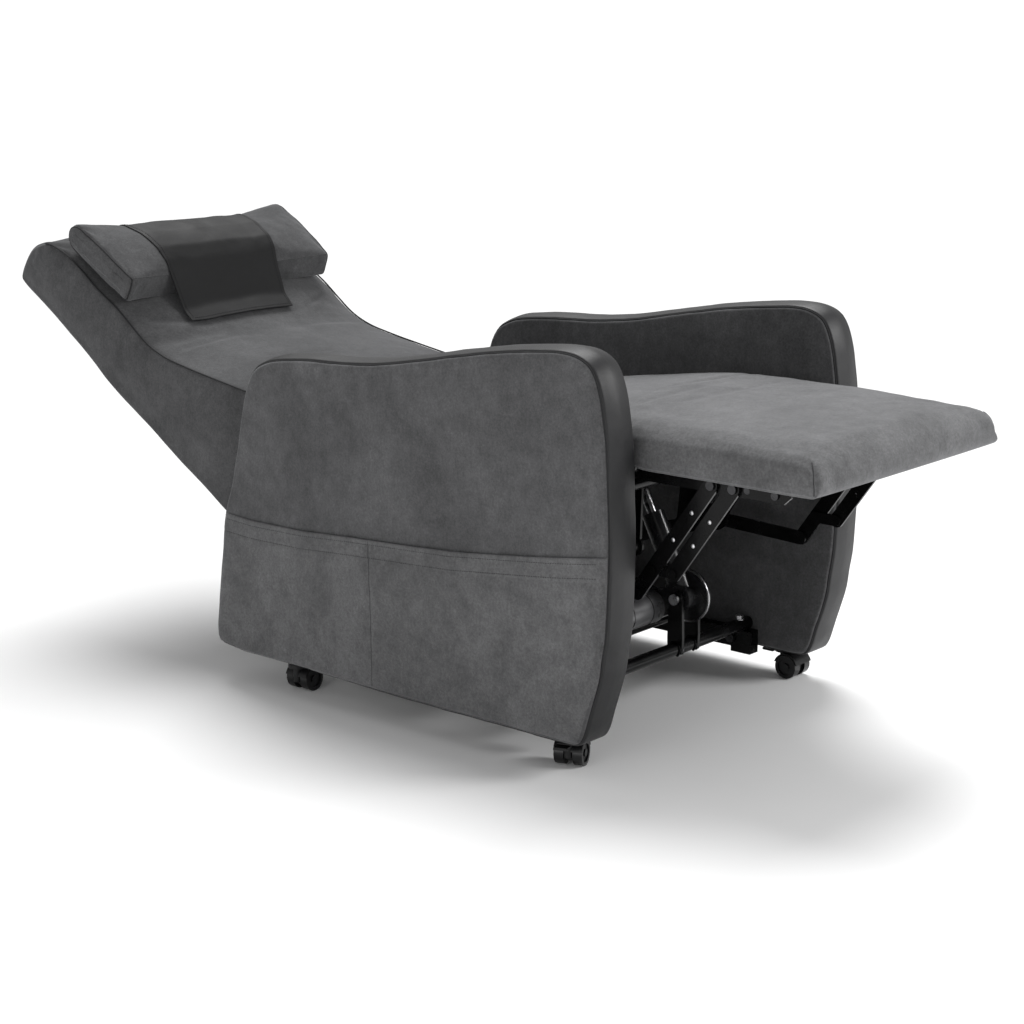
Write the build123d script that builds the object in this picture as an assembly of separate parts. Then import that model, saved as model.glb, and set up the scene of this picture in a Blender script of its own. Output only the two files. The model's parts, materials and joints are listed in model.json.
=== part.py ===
from build123d import *
import math
import os

# Lift recliner chair, millimetres. +Z up, the front of the chair faces -Y,
# origin on the floor under the centre of the bounding box.
# Drawn in its stored pose: back reclined, leg rest raised, seat down.

os.makedirs("parts", exist_ok=True)

# ---------------------------------------------------------------- dimensions
YS = 0.5                     # shift that centres the box on Y = 0
ARM_IN = 267.0               # inner face of an arm
ARM_OUT = 337.0              # outer face of an arm
BAND = 8.0                   # depth of the leather band round an arm
CORE_IN, CORE_OUT = 283.0, 321.0
POCKET_T = 1.5               # thickness of a pocket's cloth
POCKET_GAP = 4.6             # room behind the cloth at the pocket's mouth
SEAT_HW = 259.0              # half width of seat, back and leg rest

H = (-500.0, 455.0)          # leg rest hinge (Y, Z)
B_Z = 448.0                  # upper pivots of the leg bars
B1 = (-657.0, B_Z)
B2 = (-695.0, B_Z)
BAR = (128.0, -180.0)        # vector along a leg bar
O = (H[0] + BAR[0], H[1] + BAR[1])
C1 = (B1[0] + BAR[0], B1[1] + BAR[1])
SHORT = 0.785
C1S = (B1[0] + SHORT * BAR[0], B1[1] + SHORT * BAR[1])
C2S = (B2[0] + SHORT * BAR[0], B2[1] + SHORT * BAR[1])

P1 = (-290.0, 100.0)         # front lift link, lower pivot
Q1 = (P1[0] + 247.0 * math.cos(math.radians(14)), P1[1] + 247.0 * math.sin(math.radians(14)))
P2 = (-170.0, 115.0)         # rear lift link, lower pivot
Q2 = (215.0, 190.327)
REAR_SLACK = 2.4             # the open pivot of the lift linkage

K = (40.0, 400.0)            # back hinge
K_R = 58.0
F = (-400.0, 175.0)          # lift actuator, lower pivot
G = (-300.0, 366.0)          # lift actuator, upper pivot
LIFT_X = 78.0
A_LEG = (-60.0, 250.0)       # leg actuator, fixed pivot
LEG_X = -90.0
LEG_R, LEG_B = 45.0, 42.5
T_LEG = (O[0] - LEG_R * math.sin(math.radians(LEG_B)), O[1] - LEG_R * math.cos(math.radians(LEG_B)))
A_BACK = (-330.0, 335.0)     # back actuator, fixed pivot
BACK_X = -15.0
BACK_R, BACK_B = 80.0, 25.0
T_BACK = (K[0] - BACK_R * math.sin(math.radians(BACK_B)), K[1] - BACK_R * math.cos(math.radians(BACK_B)))

PIN = 6.0                    # pivot pin radius
FIT = 0.06                   # running clearance on radius

WHEEL_R, WHEEL_W, WHEEL_OUT = 20.0, 15.0, 22.5
TRAIL = 18.0
STEM_R = 5.5
CASTORS = {                  # x, y of the stem and heading of the trail (degrees)
    "front_right": (-300.0, -463.0, 20.0),
    "front_left": (303.0, -448.0, -90.0),
    "rear_right": (-300.0, 112.0, 2.0),
    "rear_left": (300.0, 112.0, 165.0),
}

ARM = [(248, 61), (263, 67), (267, 80), (262, 137), (252, 208), (241, 290), (222, 349), (205, 418),
       (186, 495), (175, 522), (160, 541), (139, 552), (121, 558), (53, 567), (-46, 572), (-120, 580),
       (-203, 595), (-283, 611), (-360, 624), (-435, 633), (-463, 635), (-490, 634), (-508, 629),
       (-523, 621), (-534, 606), (-541, 589), (-547, 568), (-553, 533), (-557, 505), (-561, 433),
       (-564, 361), (-563, 287), (-560, 227), (-555, 196), (-551, 165), (-542, 133), (-531, 100),
       (-521, 67), (-512, 53), (-500, 50), (-361, 50), (-155, 50), (79, 55)]
POCKET_TOP = [(241, 292), (174, 289), (58, 291), (-54, 299), (-161, 305), (-264, 311), (-363, 322),
              (-459, 333), (-551, 346)]
BACK = [(20, 455), (60, 460), (150, 469), (269, 483), (345, 497), (410, 506), (470, 518), (511, 537),
        (546, 562), (587, 593), (639, 620), (681, 652), (718, 674), (748, 686), (778, 691), (801, 685),
        (825, 671), (844, 648), (853, 629), (855, 617), (798, 578), (727, 529), (665, 486), (613, 446),
        (553, 409), (494, 370), (436, 331), (378, 298), (330, 264), (306, 249), (290, 246), (272, 250),
        (78, 346)]


# ---------------------------------------------------------------- helpers
def prism(pts, x0, x1):
    """A flat outline in the YZ plane, pushed from x0 to x1."""
    x0, x1 = min(x0, x1), max(x0, x1)
    w = Wire.make_polygon([(x0, y + YS, z) for y, z in pts], close=True)
    return Solid.extrude(Face(w), Vector(x1 - x0, 0, 0))


def rprism(pts, x0, x1, r):
    x0, x1 = min(x0, x1), max(x0, x1)
    f = Face(Wire.make_polygon([(x0, y + YS, z) for y, z in pts], close=True))
    f = f.fillet_2d(r, f.vertices())
    return Solid.extrude(f, Vector(x1 - x0, 0, 0))


def rod_x(p, r, x0, x1):
    x0, x1 = min(x0, x1), max(x0, x1)
    return Solid.make_cylinder(r, x1 - x0, Plane(origin=(x0, p[0] + YS, p[1]), z_dir=(1, 0, 0)))


def rod_z(x, y, r, z0, z1):
    return Solid.make_cylinder(r, z1 - z0, Plane(origin=(x, y + YS, z0), z_dir=(0, 0, 1)))


def rod_to(x, p, q, r, s0, s1):
    """A cylinder on the line p to q in the plane x, from s0 to s1 along it."""
    d = Vector(0, q[0] - p[0], q[1] - p[1]).normalized()
    o = Vector(x, p[0] + YS, p[1]) + d * s0
    return Solid.make_cylinder(r, s1 - s0, Plane(origin=o, z_dir=d))


def block(x0, x1, y0, y1, z0, z1):
    x0, x1 = min(x0, x1), max(x0, x1)
    return Solid.make_box(x1 - x0, y1 - y0, z1 - z0, Plane(origin=(x0, y0 + YS, z0)))


def bar(p, q, w, x0, x1, rp=None, rq=None):
    """A flat bar of width w with round ends at p and q."""
    rp, rq = rp or w / 2, rq or w / 2
    d = math.hypot(q[0] - p[0], q[1] - p[1])
    n = (-(q[1] - p[1]) / d * w / 2, (q[0] - p[0]) / d * w / 2)
    s = prism([(p[0] + n[0], p[1] + n[1]), (q[0] + n[0], q[1] + n[1]),
               (q[0] - n[0], q[1] - n[1]), (p[0] - n[0], p[1] - n[1])], x0, x1)
    return s + rod_x(p, rp, x0, x1) + rod_x(q, rq, x0, x1)


def drilled(s, holes, x0, x1):
    for p, r in holes:
        s = s - rod_x(p, r, min(x0, x1) - 1, max(x0, x1) + 1)
    return s


def along(p, v, t):
    return (p[0] + v[0] * t, p[1] + v[1] * t)


def inset(pts, d):
    """The outline moved inwards by d (outline runs clockwise or anticlockwise)."""
    n = len(pts)
    area = sum(pts[i][0] * pts[(i + 1) % n][1] - pts[(i + 1) % n][0] * pts[i][1] for i in range(n))
    s = 1 if area > 0 else -1
    out = []
    for i in range(n):
        a, b, c = pts[i - 1], pts[i], pts[(i + 1) % n]
        u = (b[0] - a[0], b[1] - a[1])
        v = (c[0] - b[0], c[1] - b[1])
        lu, lv = math.hypot(*u), math.hypot(*v)
        nu = (-u[1] / lu * s, u[0] / lu * s)
        nv = (-v[1] / lv * s, v[0] / lv * s)
        m = (nu[0] + nv[0], nu[1] + nv[1])
        k = 2 * d / (m[0] ** 2 + m[1] ** 2)
        out.append((b[0] + m[0] * k, b[1] + m[1] * k))
    return out


NODES = {}


def keep(name, *solids):
    solids = [s for s in solids]
    flat = []
    for s in solids:
        flat.extend(s.solids())
    shape = flat[0] if len(flat) == 1 else Compound(children=flat)
    NODES[name] = shape


def both(fn):
    """The same piece on the right (-X) and on the left (+X)."""
    return [fn(-1), fn(1)]


# ---------------------------------------------------------------- arms
inner = inset(ARM, BAND)
inner = [(y, 52.0 if (z < 76 and -530 < y < 262) else z) for y, z in inner]
for side, sgn in (("right", -1), ("left", 1)):
    ring = prism(ARM, sgn * (ARM_IN + 1.5), sgn * (ARM_OUT - 1.5)) - prism(inner, sgn * (ARM_IN - 2), sgn * (ARM_OUT + 2))
    ring = ring - block(sgn * (ARM_IN - 5), sgn * (ARM_OUT + 5), -498, 246, 40, 60)
    ring = max(ring.solids(), key=lambda s: s.volume)
    keep(f"arm_{side}_leather_band", ring)
    core = prism(inner, sgn * CORE_IN, sgn * CORE_OUT)
    for nm, (cx, cy, _) in CASTORS.items():
        if nm.endswith(side):
            core = core - rod_z(cx, cy, 9.0, 40, 102) - rod_z(cx, cy, 17.0, 40, 58)
    for y in (-380, -120, 60):
        core = core - rod_x((y, 65), 5.0, sgn * 270, sgn * 300)
    keep(f"arm_{side}_core", core)
    outer_pad = prism(inner, sgn * CORE_OUT, sgn * ARM_OUT)
    pad = prism(inner, sgn * ARM_IN, sgn * CORE_IN)
    for y in (-380, -120, 60):
        pad = pad - rod_x((y, 65), 7.0, sgn * 260, sgn * 290)
    keep(f"arm_{side}_side_pads", outer_pad, pad)
    base_edge = [(-498, 62), (-155, 62), (79, 66), (236, 72)]
    pocket = [(252 - 20, 290)] + [p for p in POCKET_TOP[1:-1]] + [(-546, 344)]
    pocket += [(-551, 287), (-548, 228), (-540, 167), (-520, 103), (-508, 72)] + base_edge
    pocket += [(252, 90), (249, 137), (240, 208)]
    # the pocket's cloth stands off the pad, sewn down along its two ends and its bottom and open along the top
    hollow = [(220, 400), (-520, 400), (-533, 287), (-530, 228), (-522, 167), (-503, 108), (-490, 84)]
    hollow += [(-155, 80), (79, 82), (226, 88), (234, 95), (231, 137), (222, 208), (214, 292)]
    x1, x2 = sgn * (ARM_OUT + POCKET_GAP), sgn * (ARM_OUT + POCKET_GAP + POCKET_T)
    cloth = prism(pocket, x1, x2)
    hem = prism(pocket, sgn * ARM_OUT, x1) - prism(hollow, sgn * (ARM_OUT - 1), sgn * (ARM_OUT + POCKET_GAP + 1))
    strips = []
    for s in hem.solids():
        for y0, y1 in ((-700, -480), (-480, 205), (205, 400)):
            part = s & block(sgn * 300, sgn * 360, y0, y1, 40, 420)
            strips += part.solids() if part is not None else []
    keep(f"arm_{side}_pocket", cloth, *strips)

# ---------------------------------------------------------------- base frame
RAIL_IN, RAIL_OUT = 243.0, ARM_IN
rails = []
for side, sgn in (("right", -1), ("left", 1)):
    rail = block(sgn * RAIL_IN, sgn * RAIL_OUT, -419, 200, 50, 80)
    for y in (-380, -120, 60):
        rail = rail - rod_x((y, 65), 5.0, sgn * 240, sgn * 268)
    foot = block(sgn * RAIL_IN, sgn * RAIL_OUT, -419, -380, 41, 50)
    rails.append(rail + foot)
keep("base_rails", *rails)
TUBE_R, TUBE_Z = 11.0, 91.0
FRONT_TUBE, REAR_TUBE = (-400.0, TUBE_Z), (150.0, TUBE_Z)
keep("base_cross_tubes", rod_x(FRONT_TUBE, TUBE_R, -262, 262) - rod_x(FRONT_TUBE, TUBE_R - 2, -263, 263),
     rod_x(REAR_TUBE, TUBE_R, -262, 262) - rod_x(REAR_TUBE, TUBE_R - 2, -263, 263))
ears = []
for x0 in (LIFT_X - 25, LIFT_X + 19):
    e = prism([(-414, 84), (-386, 84), (-385, 110), (-387, 175), (-413, 175), (-415, 110)], x0, x0 + 6) + rod_x(F, 13.0, x0, x0 + 6)
    e = drilled(e, [(FRONT_TUBE, TUBE_R + 0.02), (F, PIN + FIT)], x0, x0 + 6)
    ears.append(e)
keep("lift_clevis", *ears)
keep("lift_clevis_pin", rod_x(F, PIN, LIFT_X - 29, LIFT_X + 29) + rod_x(F, 9.0, LIFT_X - 31.5, LIFT_X - 27) + rod_x(F, 9.0, LIFT_X + 27, LIFT_X + 31.5))


def lift_bracket(sgn):
    x0, x1 = sgn * 245.0, sgn * 251.0
    a = prism([(P1[0] - 26, 80), (P1[0] + 26, 80), (P1[0] + 13, 100), (P1[0] - 13, 100)], x0, x1) + rod_x(P1, 13, x0, x1)
    b = prism([(P2[0] - 26, 80), (P2[0] + 26, 80), (P2[0] + 13, 115), (P2[0] - 13, 115)], x0, x1) + rod_x(P2, 13, x0, x1)
    a = a + rod_x(P1, PIN, sgn * 224.0, x1)
    b = b + rod_x(P2, PIN, sgn * 231.6, x1)
    return a + rod_x(P1, 9.0, sgn * 222.5, sgn * 225.0), b + rod_x(P2, 8.0, sgn * 231.6, sgn * 233.3)


lb = []
for sgn in (-1, 1):
    lb += list(lift_bracket(sgn))
keep("lift_pivot_brackets", *lb)
bolts = []
for sgn in (-1, 1):
    for y in (-380, -120, 60):
        bolts.append(rod_x((y, 65), 4.8, sgn * 240.0, sgn * 299.0) + rod_x((y, 65), 8.5, sgn * 238.0, sgn * 243.0))
keep("base_bolts", *bolts)
cb = block(-150, -20, 60, 130, 96, 140)
cb = fillet(cb.edges(), 5)
keep("control_box", cb)
keep("control_box_bracket", block(-140, -30, 130.1, 136, 102.5, 124) + block(-140, -30, 131, 161, 102.5, 106))

# ---------------------------------------------------------------- seat frame
PL0, PL1 = 205.0, 210.0


def seat_plate(sgn):
    x0, x1 = sgn * PL0, sgn * PL1
    out = [(-486, 448), (-470, 419), (-28, 366), (30, 386), (52, 388), (62, 372), (122, 262), (232, 196), (226, 178),
           (206, 174), (120, 200), (-30, 146), (-62, 146), (-150, 190), (-250, 225), (-360, 258), (-390, 266),
           (-394, 290), (-430, 350), (-508, 441), (-508, 460)]
    s = prism(out, x0, x1)
    for p, r in ((H, 13.5), (O, 17.0), (Q1, 16.0), (Q2, 16.0), (K, 18.0)):
        s = s + rod_x(p, r, x0, x1)
    # windows that lighten the plate
    s = s - rprism([(-440, 392), (-350, 380), (-330, 300), (-360, 300)], x0 - 9 * sgn, x1 + 9 * sgn, 8)
    s = s - rprism([(-300, 372), (-180, 358), (-120, 232), (-290, 262)], x0 - 9 * sgn, x1 + 9 * sgn, 12)
    s = s - rprism([(-140, 352), (-20, 338), (60, 250), (30, 214), (-90, 214)], x0 - 9 * sgn, x1 + 9 * sgn, 12)
    return drilled(s, [(H, PIN + 0.02), (O, PIN + (FIT if sgn < 0 else 0.02)), (Q1, PIN + 0.02), (Q2, PIN + 0.02), (K, 7.02)], x0, x1)


keep("seat_side_plates", seat_plate(-1), seat_plate(1))


def seat_pins(sgn):
    out = []
    # leg rest hinge pin, crank pin, lift pins, back pin
    out.append(rod_x(H, PIN, sgn * 201.0, sgn * 220.0) + rod_x(H, 9.0, sgn * 201.0, sgn * 204.9) + rod_x(H, 8.5, sgn * 218.3, sgn * 221.0))
    out.append(rod_x(Q1, PIN, sgn * 201.0, sgn * 233.0) + rod_x(Q1, 9.5, sgn * 201.0, sgn * 204.9) + rod_x(Q1, 9.5, sgn * 231.2, sgn * 233.2))
    out.append(rod_x(Q2, PIN, sgn * 201.0, sgn * 241.0) + rod_x(Q2, 9.5, sgn * 201.0, sgn * 204.9) + rod_x(Q2, 12.0, sgn * 239.6, sgn * 242.0))
    out.append(rod_x(K, 7.0, sgn * 186.0, sgn * 213.0) + rod_x(K, 10.0, sgn * 210.1, sgn * 214.0))
    return out


crank_pin = rod_x(O, PIN, 200.0, 220.0) + rod_x(O, 9.0, 218.6, 221.0) + rod_x(O, 9.0, 201.0, 204.9)
SEAT_FT, SEAT_RT = (-440.0, 400.0), (-36.0, 205.0)
keep("seat_cross_tubes", rod_x(SEAT_FT, 10.0, -PL0, PL0) - rod_x(SEAT_FT, 8.0, -PL0 - 1, PL0 + 1),
     rod_x(SEAT_RT, 12.0, -PL0, PL0) - rod_x(SEAT_RT, 10.0, -PL0 - 1, PL0 + 1))

board_lo = [(-470, 420), (-28, 367), (-28, 379), (-470, 432)]
keep("seat_board", prism(board_lo, -235, 235))


def lug_pair(xc, gap, p, top, width=28, hole=PIN):
    out = []
    for x0 in (xc - gap / 2 - 5, xc + gap / 2):
        s = prism([(p[0] - width / 2, top(p[0] - width / 2)), (p[0] + width / 2, top(p[0] + width / 2)),
                   (p[0] + 10, p[1]), (p[0] - 10, p[1])], x0, x0 + 5) + rod_x(p, 10.0, x0, x0 + 5)
        out.append(drilled(s, [(p, hole + 0.02)], x0, x0 + 5))
    return out


def under_board(y):
    return 420 - (y + 470) * 53.0 / 442.0


lugs = lug_pair(LIFT_X, 20, G, under_board) + lug_pair(BACK_X, 26, A_BACK, under_board)
for x0 in (LEG_X - 18, LEG_X + 13):
    s = bar(A_LEG, SEAT_RT, 20, x0, x0 + 5)
    s = drilled(s, [(A_LEG, PIN + 0.02), (SEAT_RT, 12.02)], x0, x0 + 5)
    lugs.append(s)
keep("seat_frame_pins", *(seat_pins(-1) + seat_pins(1)), crank_pin, rod_x(G, PIN, LIFT_X - 17, LIFT_X + 17),
     rod_x(A_BACK, PIN, BACK_X - 20, BACK_X + 20), rod_x(A_LEG, PIN, LEG_X - 20, LEG_X + 20))
hanger = prism([(O[0] - 12, O[1]), (O[0] + 12, O[1]), (O[0] + 16, under_board(O[0] + 16)), (O[0] - 16, under_board(O[0] - 16))], -24, -19) + rod_x(O, 17, -24, -19)
keep("actuator_brackets", *lugs, drilled(hanger, [(O, 12.0)], -24, -19))

cushion = [(-475, 432.6), (-475, 506), (-468, 519), (-455, 524), (-400, 522), (-328, 514), (-230, 499), (-131, 483), (-60, 472), (-40, 466),
           (-30, 452), (-28, 379.6)]
seat = prism(cushion, -SEAT_HW, SEAT_HW)
keep("seat_cushion", seat)

# ---------------------------------------------------------------- lift links
keep("lift_link_front", *[drilled(bar(P1, Q1, 26, s * 226.0, s * 231.0), [(P1, PIN + FIT), (Q1, PIN + FIT)], s * 226.0, s * 231.0) for s in (-1, 1)])
tt = rod_x(P1, 12.0, -226, 226) - rod_x(P1, 9.2, -227, 227)
keep("lift_torque_tube", tt)
keep("lift_link_rear", *[drilled(bar(P2, Q2, 26, s * 233.5, s * 238.5), [(P2, PIN + FIT), (Q2, PIN + REAR_SLACK)], s * 233.5, s * 238.5) for s in (-1, 1)])

# ---------------------------------------------------------------- actuators


def actuator(name, xc, p, q, tube0, tube1, r_out, r_in, bore0, eye_half, bridge, motor, rod_len, rod_r, fork_half):
    """Housing pivots at p, rod pivots at q; both lie on the line p to q."""
    L = math.hypot(q[0] - p[0], q[1] - p[1])
    box_r = 22.0
    g = rod_x(p, box_r, xc - eye_half, xc + eye_half) + rod_to(xc, p, q, 19.0, 0, tube0)
    g = g & rod_x(p, 200, xc - eye_half, xc + eye_half)
    g = g - rod_x(p, PIN + FIT, xc - eye_half - 1, xc + eye_half + 1)
    g = g + rod_to(xc, p, q, r_out, tube0, tube1) + bridge
    g = g - rod_to(xc, p, q, r_in, bore0, tube1 + 1) - rod_x(p, PIN + FIT, xc - eye_half - 1, xc + eye_half + 1) - motor
    keep(f"{name}_housing", max(g.solids(), key=lambda s: s.volume))
    keep(f"{name}_motor", motor)
    r = rod_to(xc, q, p, rod_r, 0, rod_len)
    r = r + rod_x(q, 12.0, xc - fork_half, xc + fork_half)
    r = r & rod_x(q, 400, xc - max(fork_half, rod_r), xc + max(fork_half, rod_r))
    r = r - rod_x(q, PIN + FIT, xc - 30, xc + 30)
    keep(f"{name}_rod", r)
    return L


MOT = (-347.0, 153.0)
m_lift = rod_x(MOT, 27.0, -62, 61) + rod_x(MOT, 21.0, -72, -61)
actuator("lift_actuator", LIFT_X, F, G, 30.0, 145.0, 19.0, 14.0, 60.0, 17.0,
         bar(F, MOT, 42, LIFT_X - 17, LIFT_X + 17, 21.0, 24.0), m_lift, 146.0, 8.0, 9.0)
ml = rod_to(LEG_X - 46, A_LEG, T_LEG, 21.0, 30.0, 140.0)
actuator("leg_actuator", LEG_X, A_LEG, T_LEG, 28.0, 190.0, 22.0, 18.5, 68.0, 12.5,
         block(LEG_X - 46, LEG_X, A_LEG[0] - 64, A_LEG[0] - 34, 236, 262), ml, 212.0, 8.0, 7.0)
mb = rod_to(BACK_X + 46, A_BACK, T_BACK, 21.0, 30.0, 140.0)
actuator("back_actuator", BACK_X, A_BACK, T_BACK, 28.0, 190.0, 22.0, 18.5, 68.0, 12.5,
         block(BACK_X, BACK_X + 46, A_BACK[0] + 34, A_BACK[0] + 64, 321, 347), mb, 212.0, 8.0, 7.0)

# ---------------------------------------------------------------- leg rest
pad = block(-SEAT_HW, SEAT_HW, -856, -525, 460, 518)
pad = fillet(pad.edges().filter_by(Axis.Z), 14)
pad = pad - block(-236, 236, -836, -540, 459, 470.5)
keep("legrest_pad", pad)
keep("legrest_board", block(-235.5, 235.5, -835.5, -540.5, 460, 470))


def leg_bracket(sgn):
    x0, x1 = sgn * 213.5, sgn * 218.0
    web = prism([(-790, 459.9), (-536, 459.9), (-520, 448), (-500, 441.5), (-500, 441), (-540, 437), (-778, 437), (-790, 448)], x0, x1) + rod_x(H, 13.5, x0, x1)
    fl = block(sgn * 190.0, sgn * 218.0, -790, -536, 457, 459.9)
    s = web + fl
    s = drilled(s, [(H, PIN + FIT), (B1, PIN - 1.5), (B2, PIN - 1.5)], x0, x1)
    for y in (-764, -716):
        s = s - rod_x((y, 448), 3.5, x0 - 1 * sgn, x1 + 1 * sgn)
    return s


keep("legrest_brackets", leg_bracket(-1), leg_bracket(1))
keep("legrest_rivets", *[rod_x(p, 4.45, s * 213.5, s * 224.5) + rod_x(p, 7.0, s * 223.3, s * 226.0) for s in (-1, 1) for p in (B1, B2)])
screws = [rod_x((-764, 448), 3.4, s * 212.0, s * 219.5) + rod_x((-764, 448), 6.0, s * 218.05, s * 221.0) for s in (-1, 1)]
screws += [rod_x((-716, 448), 3.4, s * 212.0, s * 218.3) + rod_x((-716, 448), 5.0, s * 218.02, s * 218.38) for s in (-1, 1)]
NODES["legrest_fasteners"] = Compound(children=NODES.pop("legrest_rivets").solids() + screws)


def leg_bar(p, q, sgn, holes):
    x0, x1 = sgn * 218.5, sgn * 223.0
    return drilled(bar(p, q, 24, x0, x1, 11.0, 12.0), holes, x0, x1)


keep("leg_bar_rear", *[leg_bar(B1, C1, s, [(B1, 4.5 + 0.02), (C1, 4.55), (C1S, 4.55), (along(B1, BAR, .25), 2.5), (along(B1, BAR, .5), 2.5)]) for s in (-1, 1)])
keep("leg_bar_front", *[leg_bar(B2, C2S, s, [(B2, 4.5 + 0.02), (C2S, 4.55), (along(B2, BAR, .3), 2.5), (along(B2, BAR, .52), 2.5)]) for s in (-1, 1)])


def crank(sgn):
    x0, x1 = sgn * 213.5, sgn * 218.0
    s = bar(O, C1, 22, x0, x1, 15.0, 11.0)
    s = drilled(s, [(O, PIN + (0.02 if sgn < 0 else FIT)), (C1, 4.5)], x0, x1)
    s = s + rod_x(C1, 4.5, sgn * 213.5, sgn * 224.5) + rod_x(C1, 7.0, sgn * 223.3, sgn * 226.0)
    return s


keep("leg_cranks", crank(-1), crank(1))
# torque tube: its journal passes through the right side plate and carries the right crank
tube = rod_x(O, 11.9, -200.5, -14.0)
for x0 in (LEG_X - 14, LEG_X + 8):
    tube = tube + drilled(bar(O, T_LEG, 24, x0, x0 + 6, 17.0, 12.0), [(T_LEG, PIN - 0.5)], x0, x0 + 6)
tube = tube + rod_x(T_LEG, PIN, LEG_X - 16, LEG_X + 16)
tube = tube - rod_x(O, 9.0, -190, -10) + rod_x(O, PIN, -219.5, -199.0)
keep("leg_torque_tube", max(tube.solids(), key=lambda s: s.volume))


def short_link(sgn):
    x0, x1 = sgn * 213.8, sgn * 218.0
    s = bar(C1S, C2S, 18, x0, x1)
    for p in (C1S, C2S):
        s = s + rod_x(p, 4.5, sgn * 213.8, sgn * 224.5) + rod_x(p, 7.0, sgn * 223.3, sgn * 226.0)
    return s


keep("leg_short_link", *both(short_link))

# ---------------------------------------------------------------- backrest
wide = prism(BACK, -SEAT_HW, SEAT_HW) + rod_x(K, K_R, -198, 198)
for s in (-1, 1):
    wide = wide - rod_x(K, 82.0, s * 194.5, s * 265.0)
# split into a front cushion and an upholstered shell
cut = [(-60, 700), (-60, 340), (40, 348), (110, 392), (269, 408), (345, 420), (410, 430), (490, 447), (560, 490), (640, 545), (720, 600), (800, 650), (900, 700), (900, 800)]
front_zone = prism(cut, -300, 300)
cushion_b = wide & front_zone
cushion_b = max(cushion_b.solids(), key=lambda s: s.volume)
shell_b = wide - front_zone
shell_b = max(shell_b.solids(), key=lambda s: s.volume)
K_HOLE = rod_x(K, 13.0, -199, 199)
plate_out = [(40, 384), (56, 402), (130, 388), (269, 372), (420, 392), (560, 462), (700, 552), (712, 538), (600, 450), (500, 392), (420, 350), (269, 318), (160, 322), (70, 372)]


def back_plate(sgn, grow=0.0):
    x0, x1 = sgn * (188.0 - grow), sgn * (193.0 + grow)
    s = prism(inset(plate_out, -grow) if grow else plate_out, x0, x1) + rod_x(K, 17.0 + grow, x0, x1)
    return s


lever_zone = prism([(K[0] - 90, K[1] - 8), (K[0] + 6, K[1] + 14), (K[0] + 60, K[1] - 10), (K[0] + 78, K[1] - 92), (K[0] - 60, K[1] - 100)], BACK_X - 22, BACK_X + 22)
cross_lo, cross_hi = (269, 345), (540, 430)
frame_cut = K_HOLE
for s in (-1, 1):
    frame_cut = frame_cut + back_plate(s, 0.6)
frame_cut = frame_cut + rod_x(cross_lo, 11.6, -193.6, 193.6) + rod_x(cross_hi, 11.6, -193.6, 193.6) + lever_zone + rod_x(K, 19.0, BACK_X - 22, BACK_X + 22)
cushion_b = cushion_b - frame_cut
shell_b = shell_b - frame_cut
cushion_b = max(cushion_b.solids(), key=lambda s: s.volume)
shell_b = max(shell_b.solids(), key=lambda s: s.volume)
keep("back_cushion", cushion_b)
keep("back_shell", shell_b)
frame_parts = []
for sgn in (-1, 1):
    frame_parts.append(drilled(back_plate(sgn), [(K, 12.02), (cross_lo, 11.02), (cross_hi, 11.02)], sgn * 188, sgn * 193))
keep("back_frame", *frame_parts, rod_x(cross_lo, 11.0, -193, 193) - rod_x(cross_lo, 9, -194, 194), rod_x(cross_hi, 11.0, -193, 193) - rod_x(cross_hi, 9, -194, 194))
bt = rod_x(K, 12.0, -200, 200) - rod_x(K, 7.0 + FIT, -201, -185) - rod_x(K, 7.0 + FIT, 185, 201)
for x0 in (BACK_X - 14, BACK_X + 8):
    bt = bt + drilled(bar(K, T_BACK, 24, x0, x0 + 6, 18.0, 12.0), [(T_BACK, PIN - 0.5)], x0, x0 + 6)
bt = bt + rod_x(T_BACK, PIN, BACK_X - 16, BACK_X + 16)
keep("back_torque_tube", bt)

# ---------------------------------------------------------------- headrest
pillow = [(577, 600), (636, 631), (690, 665), (722, 688), (724, 712), (712, 725), (694, 722), (650, 703), (600, 671), (561, 640)]
keep("headrest_pillow", prism(pillow, -254, 254))
out_line = [(742, 694), (738, 712), (728, 727), (712, 731), (692, 727), (648, 708), (597, 675), (556, 642), (550, 622), (538, 590), (524, 556)]
in_line = [(y + 3.4, z - 2.0) if i > 6 else (y - 0.6, z - 3.4) for i, (y, z) in enumerate(out_line)]
in_line[0], in_line[1], in_line[2] = (738.6, 694), (734.8, 711), (725.5, 724.0)
flap = prism(out_line + in_line[::-1], -152, 124)
keep("headrest_leather_flap", flap)

# ---------------------------------------------------------------- castors


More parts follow.
